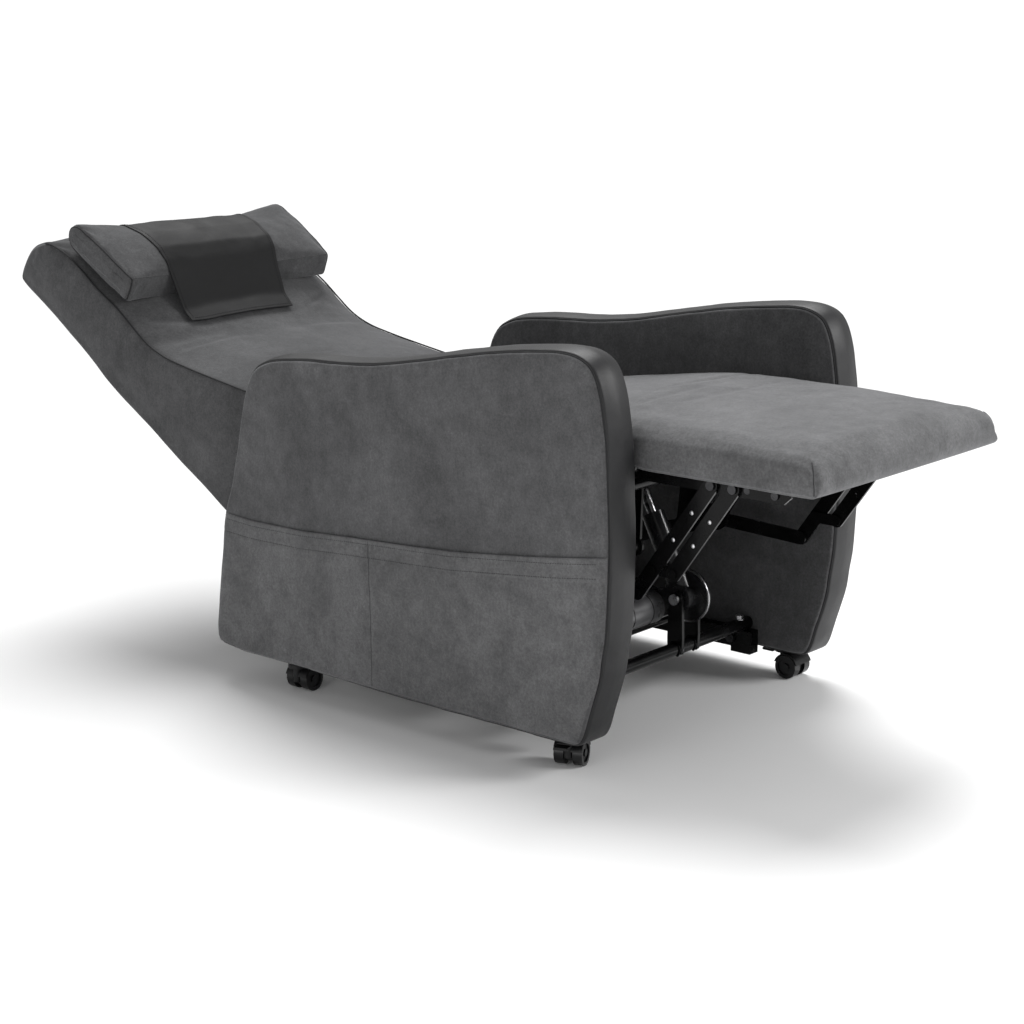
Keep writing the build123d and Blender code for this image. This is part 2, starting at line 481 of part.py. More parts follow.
def castor(name, x, y, heading):
    a = math.radians(heading)
    t = Vector(math.cos(a), math.sin(a), 0)
    ax = Vector(-math.sin(a), math.cos(a), 0)
    c = Vector(x, y + YS, 0) + t * TRAIL + Vector(0, 0, WHEEL_R)
    stem = Solid.make_cylinder(STEM_R, 50, Plane(origin=(x, y + YS, 44), z_dir=(0, 0, 1)))
    hub = Solid.make_cylinder(15, 7, Plane(origin=(x, y + YS, 40.5), z_dir=(0, 0, 1)))
    neck = Solid.make_cylinder(6.2, 27, Plane(origin=(x, y + YS, 16), z_dir=(0, 0, 1)))
    web = Solid.make_cylinder(15.0, 2 * 6.2, Plane(origin=c - ax * 6.2, z_dir=ax))
    mid = Solid.make_box(TRAIL, 12.4, 16, Plane(origin=(x, y + YS, 22), x_dir=(math.cos(a), math.sin(a), 0), z_dir=(0, 0, 1)))
    mid = mid.moved(Location(-ax * 6.2))
    hood_r = WHEEL_R + 3.0
    hood = Solid.make_cylinder(hood_r, 2 * WHEEL_OUT, Plane(origin=c - ax * WHEEL_OUT, z_dir=ax)) - Solid.make_cylinder(WHEEL_R + 1.4, 2 * WHEEL_OUT + 2, Plane(origin=c - ax * (WHEEL_OUT + 1), z_dir=ax))
    keep_zone = Solid.make_box(80, 80, 40, Plane(origin=(c.X - 40, c.Y - 40, 26)))
    hood = (hood & keep_zone)
    body = stem + hub + neck + web + mid + hood
    body = body - Solid.make_cylinder(3.5 + FIT, 60, Plane(origin=c - ax * 30, z_dir=ax))
    body = max(body.solids(), key=lambda s: s.volume)
    wheels = []
    for s in (-1, 1):
        o = c + ax * (7.2 if s > 0 else -WHEEL_OUT)
        w = Solid.make_cylinder(WHEEL_R, WHEEL_OUT - 7.2, Plane(origin=o, z_dir=ax))
        o2 = c + ax * (WHEEL_OUT - 2.5 if s > 0 else -WHEEL_OUT)
        dish = Solid.make_cylinder(WHEEL_R - 5.5, 2.5, Plane(origin=o2, z_dir=ax)) - Solid.make_cylinder(6.0, 2.5, Plane(origin=o2, z_dir=ax))
        w = w - dish
        wheels.append(w)
    axle = Solid.make_cylinder(3.5, 2 * WHEEL_OUT - 2, Plane(origin=c - ax * (WHEEL_OUT - 1), z_dir=ax))
    ws = wheels[0] + axle + wheels[1]
    keep(f"castor_{name}_fork", body)
    keep(f"castor_{name}_wheels", ws)
    return c, ax, t


for nm, (x, y, h) in CASTORS.items():
    c, ax, t = castor(nm, x, y, h)
    if nm.startswith("front"):
        # brake pedal, hinged on the hood behind the stem
        piv = Vector(x, y + YS, 41.5) - t * 16.0
        ped = Solid.make_cylinder(3.2, 22, Plane(origin=piv - ax * 11, z_dir=ax))
        xd = (-t.X, -t.Y, 0)
        tab = Solid.make_box(20, 22, 4, Plane(origin=piv - ax * -11 + Vector(0, 0, -3.2), x_dir=xd, z_dir=(0, 0, 1)))
        ped = ped + tab
        hubc = Solid.make_cylinder(15.4, 9, Plane(origin=(x, y + YS, 38.5), z_dir=(0, 0, 1)))
        hood_c = Solid.make_cylinder(WHEEL_R + 3.6, 60, Plane(origin=c - ax * 30, z_dir=ax))
        ped = ped - hubc - hood_c
        ped = max(ped.solids(), key=lambda s: s.volume)
        keep(f"castor_{nm}_brake_pedal", ped)

socks = []
for nm, (x, y, h) in CASTORS.items():
    s = rod_z(x, y, 9.0, 57, 101) + rod_z(x, y, 16.5, 50, 58)
    s = s - rod_z(x, y, STEM_R + FIT, 49, 95)
    socks.append(s)
keep("castor_sockets", *socks)

# ---------------------------------------------------------------- write
if __name__ == "__main__":
    for n, shape in NODES.items():
        shape.label = n
        export_step(shape, f"parts/{n}.step")
    bb = Compound(children=[s for sh in NODES.values() for s in sh.solids()]).bounding_box()
    print(len(NODES), "nodes", bb.min, bb.max)
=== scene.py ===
import json
import math

import bmesh
import bpy
import numpy as np
from mathutils import Matrix, Vector, noise
from mathutils.bvhtree import BVHTree
from mathutils.geometry import delaunay_2d_cdt


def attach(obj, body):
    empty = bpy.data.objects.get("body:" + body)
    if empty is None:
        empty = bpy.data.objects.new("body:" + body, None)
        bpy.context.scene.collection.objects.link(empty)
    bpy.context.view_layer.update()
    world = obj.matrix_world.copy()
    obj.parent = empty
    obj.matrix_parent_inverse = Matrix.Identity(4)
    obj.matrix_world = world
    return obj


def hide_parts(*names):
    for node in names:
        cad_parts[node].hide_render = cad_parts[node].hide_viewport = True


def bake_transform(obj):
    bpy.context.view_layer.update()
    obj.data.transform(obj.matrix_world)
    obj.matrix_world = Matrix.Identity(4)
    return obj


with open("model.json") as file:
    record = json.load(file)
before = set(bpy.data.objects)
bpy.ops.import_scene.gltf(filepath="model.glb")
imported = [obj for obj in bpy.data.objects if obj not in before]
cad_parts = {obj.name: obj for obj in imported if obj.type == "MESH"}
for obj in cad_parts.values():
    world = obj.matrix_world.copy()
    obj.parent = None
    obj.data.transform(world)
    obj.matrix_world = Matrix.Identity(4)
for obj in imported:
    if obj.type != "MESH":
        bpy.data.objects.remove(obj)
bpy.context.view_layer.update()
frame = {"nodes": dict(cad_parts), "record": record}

MM = 0.001
YS = 0.5

# ------------------------------------------------------------------ materials


def new_mat(name):
    m = bpy.data.materials.new(name)
    m.use_nodes = True
    nt = m.node_tree
    for n in list(nt.nodes):
        nt.nodes.remove(n)
    out = nt.nodes.new("ShaderNodeOutputMaterial")
    bs = nt.nodes.new("ShaderNodeBsdfPrincipled")
    nt.links.new(bs.outputs[0], out.inputs[0])
    return m, nt, bs


def tex(nt, kind, scale, detail=4.0, rough=0.55, coord=None, distortion=0.0, w=0.0):
    n = nt.nodes.new(kind)
    if "Scale" in n.inputs:
        n.inputs["Scale"].default_value = scale
    if "Detail" in n.inputs:
        n.inputs["Detail"].default_value = detail
    if "Roughness" in n.inputs:
        n.inputs["Roughness"].default_value = rough
    if "Distortion" in n.inputs:
        n.inputs["Distortion"].default_value = distortion
    if coord is not None:
        nt.links.new(coord, n.inputs["Vector"])
    return n


def coords(nt, scale=(1, 1, 1)):
    tc = nt.nodes.new("ShaderNodeTexCoord")
    mp = nt.nodes.new("ShaderNodeMapping")
    mp.inputs["Scale"].default_value = scale
    nt.links.new(tc.outputs["Object"], mp.inputs["Vector"])
    return mp.outputs[0]


def ramp(nt, fac, stops):
    r = nt.nodes.new("ShaderNodeValToRGB")
    el = r.color_ramp.elements
    while len(el) < len(stops):
        el.new(0.5)
    for e, (p, c) in zip(el, stops):
        e.position = p
        e.color = (*c, 1) if len(c) == 3 else c
    nt.links.new(fac, r.inputs[0])
    return r.outputs[0]


def mixc(nt, a, b, fac, mode="MIX"):
    n = nt.nodes.new("ShaderNodeMix")
    n.data_type = "RGBA"
    n.blend_type = mode
    for sock, v in ((n.inputs[6], a), (n.inputs[7], b)):
        if isinstance(v, tuple):
            sock.default_value = (*v, 1) if len(v) == 3 else v
        else:
            nt.links.new(v, sock)
    if isinstance(fac, (int, float)):
        n.inputs[0].default_value = fac
    else:
        nt.links.new(fac, n.inputs[0])
    return n.outputs[2]


def math_n(nt, op, a, b=0.0, clamp=False):
    n = nt.nodes.new("ShaderNodeMath")
    n.operation = op
    n.use_clamp = clamp
    for i, v in enumerate((a, b)):
        if isinstance(v, (int, float)):
            n.inputs[i].default_value = v
        else:
            nt.links.new(v, n.inputs[i])
    return n.outputs[0]


def bump(nt, height, strength, dist, normal=None):
    b = nt.nodes.new("ShaderNodeBump")
    b.inputs["Strength"].default_value = strength
    b.inputs["Distance"].default_value = dist
    nt.links.new(height, b.inputs["Height"])
    if normal is not None:
        nt.links.new(normal, b.inputs["Normal"])
    return b.outputs[0]


def suede(name, base=(0.088, 0.088, 0.090), mottle=0.16, sheen=0.28):
    """Napped microfibre: cloudy patches where the pile lies differently, brushed streaks, fine fibre grain, soft sheen."""
    m, nt, bs = new_mat(name)
    c = coords(nt)
    cloud = tex(nt, "ShaderNodeTexNoise", 7.0, 4.0, 0.6, c, 0.5)
    mid = tex(nt, "ShaderNodeTexNoise", 42.0, 5.0, 0.65, c, 0.3)
    streak = tex(nt, "ShaderNodeTexNoise", 95.0, 3.0, 0.55, coords(nt, (1.0, 1.0, 0.5)), 0.8)
    grain = tex(nt, "ShaderNodeTexNoise", 260.0, 4.0, 0.7, c)
    fib = tex(nt, "ShaderNodeTexNoise", 1300.0, 2.0, 0.5, c)
    lo = tuple(v * (1 - mottle) for v in base)
    hi = tuple(v * (1 + mottle) for v in base)

    def band(n, k, a=0.30, b=0.70):
        return ramp(nt, n.outputs[0], [(a, (1 - k,) * 3), (b, (1 + k,) * 3)])

    col = ramp(nt, cloud.outputs[0], [(0.34, lo), (0.50, base), (0.68, hi)])
    for n, k in ((mid, 0.15), (streak, 0.08), (grain, 0.23), (fib, 0.17)):
        col = mixc(nt, col, band(n, k), 1.0, "MULTIPLY")
    nt.links.new(col, bs.inputs["Base Color"])
    bs.inputs["Roughness"].default_value = 0.94
    bs.inputs["Specular IOR Level"].default_value = 0.14
    bs.inputs["Sheen Weight"].default_value = sheen
    bs.inputs["Sheen Roughness"].default_value = 0.5
    bs.inputs["Sheen Tint"].default_value = (0.72, 0.73, 0.75, 1)
    b1 = bump(nt, mid.outputs[0], 0.25, 0.0018)
    b2 = bump(nt, grain.outputs[0], 0.40, 0.0006, b1)
    b3 = bump(nt, fib.outputs[0], 0.30, 0.0003, b2)
    nt.links.new(b3, bs.inputs["Normal"])
    return m


def leather(name, base=(0.020, 0.020, 0.0215), rough=0.46, grain=420.0, spec=0.42):
    m, nt, bs = new_mat(name)
    c = coords(nt)
    big = tex(nt, "ShaderNodeTexNoise", 14.0, 4.0, 0.6, c, 0.5)
    vor = tex(nt, "ShaderNodeTexVoronoi", grain, coord=c)
    vor.feature = "DISTANCE_TO_EDGE"
    fine = tex(nt, "ShaderNodeTexNoise", grain * 2.4, 3.0, 0.6, c)
    col = ramp(nt, big.outputs[0], [(0.3, tuple(v * 0.82 for v in base)), (0.7, tuple(v * 1.22 for v in base))])
    nt.links.new(col, bs.inputs["Base Color"])
    rr = ramp(nt, big.outputs[0], [(0.3, (rough - 0.05,) * 3), (0.7, (rough + 0.07,) * 3)])
    nt.links.new(rr, bs.inputs["Roughness"])
    bs.inputs["Specular IOR Level"].default_value = spec
    e = ramp(nt, vor.outputs["Distance"], [(0.0, (0, 0, 0)), (0.22, (1, 1, 1))])
    b1 = bump(nt, e, 0.22, 0.0005)
    b2 = bump(nt, fine.outputs[0], 0.16, 0.0003, b1)
    b3 = bump(nt, big.outputs[0], 0.18, 0.004, b2)
    nt.links.new(b3, bs.inputs["Normal"])
    return m


def painted(name, base=(0.0032, 0.0032, 0.0034), rough=0.22, spec=0.17):
    """Powder-coated steel: fine orange peel and slightly uneven gloss."""
    m, nt, bs = new_mat(name)
    c = coords(nt)
    big = tex(nt, "ShaderNodeTexNoise", 30.0, 4.0, 0.6, c)
    peel = tex(nt, "ShaderNodeTexNoise", 900.0, 2.0, 0.5, c)
    body = ramp(nt, big.outputs[0], [(0.3, tuple(v * 0.8 for v in base)), (0.7, tuple(v * 1.3 for v in base))])
    nt.links.new(body, bs.inputs["Base Color"])
    rr = ramp(nt, big.outputs[0], [(0.3, (rough - 0.06,) * 3), (0.7, (rough + 0.1,) * 3)])
    nt.links.new(rr, bs.inputs["Roughness"])
    bs.inputs["Specular IOR Level"].default_value = spec
    nt.links.new(bump(nt, peel.outputs[0], 0.25, 0.0003), bs.inputs["Normal"])
    return m


def metal(name, base=(0.55, 0.55, 0.56), rough=0.28):
    m, nt, bs = new_mat(name)
    c = coords(nt)
    big = tex(nt, "ShaderNodeTexNoise", 60.0, 4.0, 0.6, c)
    fine = tex(nt, "ShaderNodeTexNoise", 1400.0, 2.0, 0.5, coords(nt, (0.15, 1.0, 1.0)))
    col = ramp(nt, big.outputs[0], [(0.3, tuple(v * 0.72 for v in base)), (0.7, tuple(min(1.0, v * 1.2) for v in base))])
    nt.links.new(col, bs.inputs["Base Color"])
    bs.inputs["Metallic"].default_value = 1.0
    rr = ramp(nt, big.outputs[0], [(0.3, (rough - 0.06,) * 3), (0.7, (rough + 0.12,) * 3)])
    nt.links.new(rr, bs.inputs["Roughness"])
    nt.links.new(bump(nt, fine.outputs[0], 0.12, 0.0002), bs.inputs["Normal"])
    return m


def plastic(name, base=(0.016, 0.016, 0.017), rough=0.42, tex_scale=1200.0, strength=0.3, spec=0.5):
    m, nt, bs = new_mat(name)
    c = coords(nt)
    big = tex(nt, "ShaderNodeTexNoise", 30.0, 4.0, 0.6, c)
    fine = tex(nt, "ShaderNodeTexNoise", tex_scale, 2.0, 0.5, c)
    col = ramp(nt, big.outputs[0], [(0.3, tuple(v * 0.85 for v in base)), (0.7, tuple(v * 1.25 for v in base))])
    nt.links.new(col, bs.inputs["Base Color"])
    rr = ramp(nt, big.outputs[0], [(0.3, (rough - 0.05,) * 3), (0.7, (rough + 0.08,) * 3)])
    nt.links.new(rr, bs.inputs["Roughness"])
    bs.inputs["Specular IOR Level"].default_value = spec
    nt.links.new(bump(nt, fine.outputs[0], strength, 0.0003), bs.inputs["Normal"])
    return m


def lining(name):
    """Black woven lining stapled over the boards."""
    m, nt, bs = new_mat(name)
    wv = nt.nodes.new("ShaderNodeTexWave")
    wv.inputs["Scale"].default_value = 420.0
    nt.links.new(coords(nt), wv.inputs["Vector"])
    big = tex(nt, "ShaderNodeTexNoise", 40.0, 4.0, 0.6, coords(nt))
    col = ramp(nt, big.outputs[0], [(0.3, (0.008, 0.008, 0.0085)), (0.7, (0.016, 0.016, 0.0165))])
    nt.links.new(col, bs.inputs["Base Color"])
    bs.inputs["Roughness"].default_value = 0.9
    bs.inputs["Specular IOR Level"].default_value = 0.2
    nt.links.new(bump(nt, wv.outputs[0], 0.3, 0.0003), bs.inputs["Normal"])
    return m


M = {
    # darker copy of the one grey suede: painted shade on the back and pillow
    "suede": suede("suede_charcoal_painted_shade", base=(0.061, 0.061, 0.0625), mottle=0.22),
    # lighter copy of the same suede: painted light on the pockets
    "suede_pocket_painted_light": suede("suede_pocket_painted_light", base=(0.100, 0.100, 0.102), mottle=0.20),
    "suede_arm": suede("suede_arm", base=(0.076, 0.076, 0.078), mottle=0.21),
    # lighter copy of the same suede: painted light on the seat and leg rest
    "suede_seat_painted_light": suede("suede_seat_painted_light", base=(0.098, 0.098, 0.100), mottle=0.18),
    "leather": leather("leather_band", base=(0.015, 0.015, 0.016), spec=0.36),
    # darker copy of the black leather: painted shade on the flap
    "flap": leather("leather_flap", base=(0.0085, 0.0085, 0.009), rough=0.60, grain=520.0, spec=0.22),
    "seam": leather("seam_thread", base=(0.010, 0.010, 0.011), rough=0.75, grain=1800.0),
    "black_steel": painted("black_steel"),
    "casting": painted("gear_casting", base=(0.011, 0.011, 0.012), rough=0.22, spec=0.6),
    "housing": painted("motor_housing", base=(0.085, 0.085, 0.088), rough=0.30, spec=0.9),
    "zinc": metal("zinc_steel"),
    "rod": metal("rod_steel", base=(0.62, 0.62, 0.63), rough=0.20),
    "motor": plastic("motor_plastic", base=(0.030, 0.030, 0.032), rough=0.30),
    "castor": plastic("castor_plastic", base=(0.005, 0.005, 0.0055), rough=0.40, spec=0.35),
    "tread": plastic("castor_tread", base=(0.0045, 0.0045, 0.005), rough=0.32, strength=0.15, spec=0.4),
    "wood": lining("board_lining"),
    # grey metal strip for the bevels of black steel and castings: painted highlight along the edges
    "edge": metal("edge_painted_highlight", base=(0.30, 0.30, 0.31), rough=0.34),
    "dark_zinc": metal("dark_zinc", base=(0.055, 0.055, 0.057), rough=0.28),
    "seam_suede": suede("seam_suede", base=(0.045, 0.045, 0.046)),
}

# ------------------------------------------------------------------ shape tools


def catmull(pts, n, closed=True):
    """A smooth curve through the points, resampled to n even steps."""
    p = np.array(pts, float)
    m = len(p)
    seg = range(m if closed else m - 1)
    out = []
    for i in seg:
        p1, p2 = p[i], p[(i + 1) % m]
        p0 = p[i - 1] if closed or i > 0 else 2 * p1 - p2
        p3 = p[(i + 2) % m] if closed or i + 2 < m else 2 * p2 - p1
        d1 = max(np.linalg.norm(p1 - p0), 1e-6) ** 0.5
        d2 = max(np.linalg.norm(p2 - p1), 1e-6) ** 0.5
        d3 = max(np.linalg.norm(p3 - p2), 1e-6) ** 0.5
        m1 = (p2 - p1) / d2 - (p2 - p0) / (d1 + d2) + (p1 - p0) / d1
        m2 = (p3 - p2) / d3 - (p3 - p1) / (d2 + d3) + (p2 - p1) / d2
        m1, m2 = m1 * d2, m2 * d2
        k = 14
        for j in range(k):
            t = j / k
            out.append((2 * t**3 - 3 * t**2 + 1) * p1 + (t**3 - 2 * t**2 + t) * m1 + (-2 * t**3 + 3 * t**2) * p2 + (t**3 - t**2) * m2)
    if not closed:
        out.append(p[-1])
    out = np.array(out)
    q = np.vstack([out, out[:1]]) if closed else out
    s = np.concatenate([[0], np.cumsum(np.linalg.norm(np.diff(q, axis=0), axis=1))])
    ts = np.linspace(0, s[-1], n, endpoint=not closed)
    return np.stack([np.interp(ts, s, q[:, i]) for i in range(p.shape[1])], 1)


def normals2(P):
    """Outward unit normals of a closed outline."""
    t = np.roll(P, -1, 0) - np.roll(P, 1, 0)
    t /= np.linalg.norm(t, axis=1)[:, None]
    n = np.stack([t[:, 1], -t[:, 0]], 1)
    a = 0.5 * np.sum(P[:, 0] * np.roll(P[:, 1], -1) - np.roll(P[:, 0], -1) * P[:, 1])
    return n if a > 0 else -n


def nearest_on(path, q):
    """Nearest point of an open polyline to each q."""
    a, b = path[:-1], path[1:]
    best, bd = None, None
    for i in range(len(a)):
        d = b[i] - a[i]
        t = np.clip(((q - a[i]) @ d) / (d @ d), 0, 1)
        c = a[i] + t[:, None] * d
        e = np.linalg.norm(q - c, axis=1)
        if best is None:
            best, bd = c, e
        else:
            m = e < bd
            best[m] = c[m]
            bd = np.minimum(bd, e)
    return best


def roll_in(d, r):
    d = np.clip(d, 0, r)
    return r - np.sqrt(np.maximum(r * r - (r - d) ** 2, 0))


def make_obj(name, verts, faces, mats, face_mat=None, smooth=True):
    me = bpy.data.meshes.new(name)
    me.from_pydata([tuple(v) for v in verts], [], [tuple(f) for f in faces])
    for m in mats:
        me.materials.append(m)
    if face_mat is not None:
        me.polygons.foreach_set("material_index", np.array(face_mat, np.int32))
    if smooth:
        me.polygons.foreach_set("use_smooth", np.ones(len(me.polygons), bool))
    me.update()
    ob = bpy.data.objects.new(name, me)
    bpy.context.scene.collection.objects.link(ob)
    return ob


def get_co(ob):
    a = np.empty(len(ob.data.vertices) * 3)
    ob.data.vertices.foreach_get("co", a)
    return a.reshape(-1, 3)


def set_co(ob, co):
    ob.data.vertices.foreach_set("co", np.asarray(co, float).ravel())
    ob.data.update()


def apply_mods(ob):
    bpy.context.view_layer.update()
    dg = bpy.context.evaluated_depsgraph_get()
    me = bpy.data.meshes.new_from_object(ob.evaluated_get(dg), preserve_all_data_layers=True, depsgraph=dg)
    old = ob.data
    ob.modifiers.clear()
    ob.data = me
    me.polygons.foreach_set("use_smooth", np.ones(len(me.polygons), bool))
    bpy.data.meshes.remove(old)
    return ob


def subdivide(ob, level=1):
    md = ob.modifiers.new("sub", "SUBSURF")
    md.levels = md.render_levels = level
    md.boundary_smooth = "PRESERVE_CORNERS"
    return apply_mods(ob)


def fix_normals(ob):
    bm = bmesh.new()
    bm.from_mesh(ob.data)
    bmesh.ops.recalc_face_normals(bm, faces=bm.faces)
    bm.to_mesh(ob.data)
    bm.free()
    return ob


def inside(poly, q):
    """Which of the points q lie inside the closed outline."""
    x, y = q[:, 0], q[:, 1]
    r = np.zeros(len(q), bool)
    m = len(poly)
    for i in range(m):
        (x1, y1), (x2, y2) = poly[i], poly[(i + 1) % m]
        c = ((y1 > y) != (y2 > y)) & (x < (x2 - x1) * (y - y1) / ((y2 - y1) if y2 != y1 else 1e-12) + x1)
        r ^= c
    return r


def soft_form(name, outline, medial, hw, xc=0.0, fill=13.0, n=150, r_side=6.0, r_strip=6.0, crown=None, side_crown=4.0,
              strip_rows=22, mats=(0, 0, 0), materials=(), taper=None, edge_r=None):
    """A sewn form: a strip of cloth round the outline, and a side panel at each end of it, meeting at a seam.
    crown(s_point, u) gives how far the strip stands out, u from -1 to 1 across. All in mm."""
    P = catmull(outline, n)
    N = normals2(P)
    med = np.array(medial, float)
    rs = np.full(n, float(r_side)) if edge_r is None else edge_r(P)
    rt = np.full(n, float(r_strip)) if edge_r is None else rs
    Pin = P - N * rt[:, None]
    C = nearest_on(med, Pin)
    L = np.linalg.norm(Pin - C, axis=1)
    absd = [0.0, 0.6, 1.6, 3.0, 5.0, 8.0, 12.0, 17.0, 24.0]
    rows = []
    tags = []

    def side(sign, reverse):
        out = []
        for d in absd:
            a = np.minimum(d / L, 0.55)
            q = Pin + (C - Pin) * a[:, None]
            x = hw - roll_in(np.full(n, d), rs) + side_crown * (1 - np.exp(-d / 45.0))
            out.append((q, x))
        out = [(q, xc + sign * x) for q, x in out]
        return out[::-1] if reverse else out

    A = side(-1, True)
    B = side(1, False)
    wa = hw - rs
    w = float(wa.mean())
    edge = [0.0, 0.8, 2.0, 3.6, 6.0, 9.0, 14.0]
    us = [-1 + e / w for e in edge if e < w * 0.8]
    mid = np.linspace(us[-1], -us[-1], strip_rows)
    us = us + list(mid[1:-1]) + [-u for u in us[::-1]]
    S = []
    for u in us:
        e = (1 - abs(u)) * w
        off = -roll_in(np.full(n, e), rt)
        cr = crown(P, u) if crown is not None else 0.0
        fade = 1 - math.exp(-e / 14.0)
        off = off + cr * fade
        S.append((P + N * np.asarray(off)[:, None], xc + u * wa))
    S = S[1:-1]
    allrows = A + S + B
    zone = [0] * (len(A) - 1) + [1] * (len(S) + 1) + [2] * (len(B) - 1)
    verts = []
    for q, x in allrows:
        k = np.ones(n) if taper is None else taper(q)
        verts.append(np.stack([xc + (np.broadcast_to(x, (n,)) - xc) * k, q[:, 0] + YS, q[:, 1]], 1))
    V = np.vstack(verts) * MM
    faces, fm = [], []
    for r in range(len(allrows) - 1):
        for i in range(n):
            j = (i + 1) % n
            faces.append((r * n + i, r * n + j, (r + 1) * n + j, (r + 1) * n + i))
            fm.append(mats[zone[r]])
    ob = make_obj(name, V, faces, materials, fm)
    bm = bmesh.new()
    bm.from_mesh(ob.data)
    bm.verts.ensure_lookup_table()
    old = list(bm.verts)
    for base, (q, _), sign in ((0, allrows[0], -1), ((len(allrows) - 1) * n, allrows[-1], 1)):
        y0, y1, z0, z1 = q[:, 0].min(), q[:, 0].max(), q[:, 1].min(), q[:, 1].max()
        gy, gz = np.meshgrid(np.arange(y0, y1, fill), np.arange(z0, z1, fill * 0.866))
        gy = gy + (np.arange(gy.shape[0])[:, None] % 2) * fill * 0.5
        G = np.stack([gy.ravel(), gz.ravel()], 1)
        dd = np.full(len(G), 1e9)
        for i in range(n):
            dd = np.minimum(dd, np.hypot(*(G - q[i]).T))
        G = G[(dd > fill * 0.62) & inside(q, G)]
        vin = [Vector(p) for p in q] + [Vector(p) for p in G]
        rv, re, rf, ov, oe, of = delaunay_2d_cdt(vin, [], [list(range(n))], 1, 1e-4)
        idx = {}
        for k, p in enumerate(rv):
            src = [o for o in ov[k] if o < n]
            if src:
                idx[k] = old[base + src[0]]
            else:
                d = float(np.hypot(P[:, 0] - p[0], P[:, 1] - p[1]).min()) - float(rt.mean())
                x = hw + side_crown * (1 - math.exp(-max(d, 0.0) / 45.0))
                kk = 1.0 if taper is None else float(taper(np.array([[p[0], p[1]]]))[0])
                idx[k] = bm.verts.new(Vector((xc + sign * x * kk, p[1 - 1] + YS, p[1])) * MM)
        for tri in rf:
            try:
                f = bm.faces.new([idx[k] for k in tri])
                f.material_index = mats[0 if sign < 0 else 2]
                f.smooth = True
            except ValueError:
                pass
    bmesh.ops.recalc_face_normals(bm, faces=bm.faces)
    bm.to_mesh(ob.data)
    bm.free()
    info = {"n": n, "seamA": len(A) - 1, "seamB": len(A) + len(S), "rows": len(allrows), "P": P, "N": N}
    return ob, info


def cloth_puff(ob, pin, pressure=4.0, frames=20, cap=0.012, shrink=0.0, stiff=15.0, keep_dir=None):
    """Inflates the closed piece a little as cloth under pressure; pinned points stay."""
    before = get_co(ob)
    vg = ob.vertex_groups.new(name="pin")
    for i, w in enumerate(pin):
        if w > 0.001:
            vg.add([i], float(w), "REPLACE")
    md = ob.modifiers.new("cloth", "CLOTH")
    st = md.settings
    st.quality = 5
    st.mass = 0.3
    st.tension_stiffness = stiff
    st.compression_stiffness = stiff
    st.shear_stiffness = 5
    st.bending_stiffness = 0.5
    st.use_pressure = True
    st.uniform_pressure_force = pressure
    st.shrink_min = shrink
    st.vertex_group_mass = "pin"
    st.pin_stiffness = 1.0
    st.effector_weights.gravity = 0.0
    md.collision_settings.use_collision = False
    md.point_cache.frame_start = 1
    md.point_cache.frame_end = frames
    sc = bpy.context.scene
    for f in range(1, frames + 1):
        sc.frame_set(f)
    dg = bpy.context.evaluated_depsgraph_get()
    ev = ob.evaluated_get(dg)
    me = ev.to_mesh()
    a = np.empty(len(me.vertices) * 3)
    me.vertices.foreach_get("co", a)
    ev.to_mesh_clear()
    after = a.reshape(-1, 3)
    d = after - before
    d[~np.isfinite(d).all(1)] = 0
    m = np.linalg.norm(d, axis=1)
    k = np.where(m > 1e-9, cap * np.tanh(m / cap) / np.maximum(m, 1e-9), 0)
    ob.modifiers.remove(md)
    ob.vertex_groups.clear()
    set_co(ob, before + d * k[:, None])
    sc.frame_set(1)
    return ob


def fbm(p, scale, octaves=3, seed=0.0):
    v = Vector((p[0] * scale + seed, p[1] * scale - seed, p[2] * scale + 2.3 * seed))
    a, t = 1.0, 0.0
    for _ in range(octaves):
        t += a * noise.noise(v)
        v = v * 2.03
        a *= 0.5
    return t


def vert_normals(ob):
    a = np.empty(len(ob.data.vertices) * 3)
    ob.data.vertices.foreach_get("normal", a)
    return a.reshape(-1, 3)


def lumps(ob, amp, scale, seed, mask=None, octaves=3):
    """Slow uneven lumps and dents of stuffed cloth, along the surface normal."""
    co = get_co(ob)
    nn = vert_normals(ob)
    h = np.array([fbm(p, scale, octaves, seed) for p in co])
    if mask is not None:
        h = h * mask(co)
    set_co(ob, co + nn * (h * amp)[:, None])


def crease(ob, a, b, width, depth, reach=None, zmin=-1e9):
    """A soft fold pressed along the segment a to b (metres)."""
    co = get_co(ob)
    nn = vert_normals(ob)
    a, b = np.array(a, float), np.array(b, float)
    d = b - a
    t = np.clip(((co - a) @ d) / (d @ d), 0, 1)
    q = a + t[:, None] * d
    e = np.linalg.norm(co - q, axis=1)
    ends = np.sin(np.pi * np.clip(t, 0.02, 0.98)) ** 0.5
    h = -depth * np.exp(-((e / width) ** 2)) * ends + 0.45 * depth * np.exp(-(((e - 2.1 * width) / (1.2 * width)) ** 2)) * ends
    set_co(ob, co + nn * h[:, None])


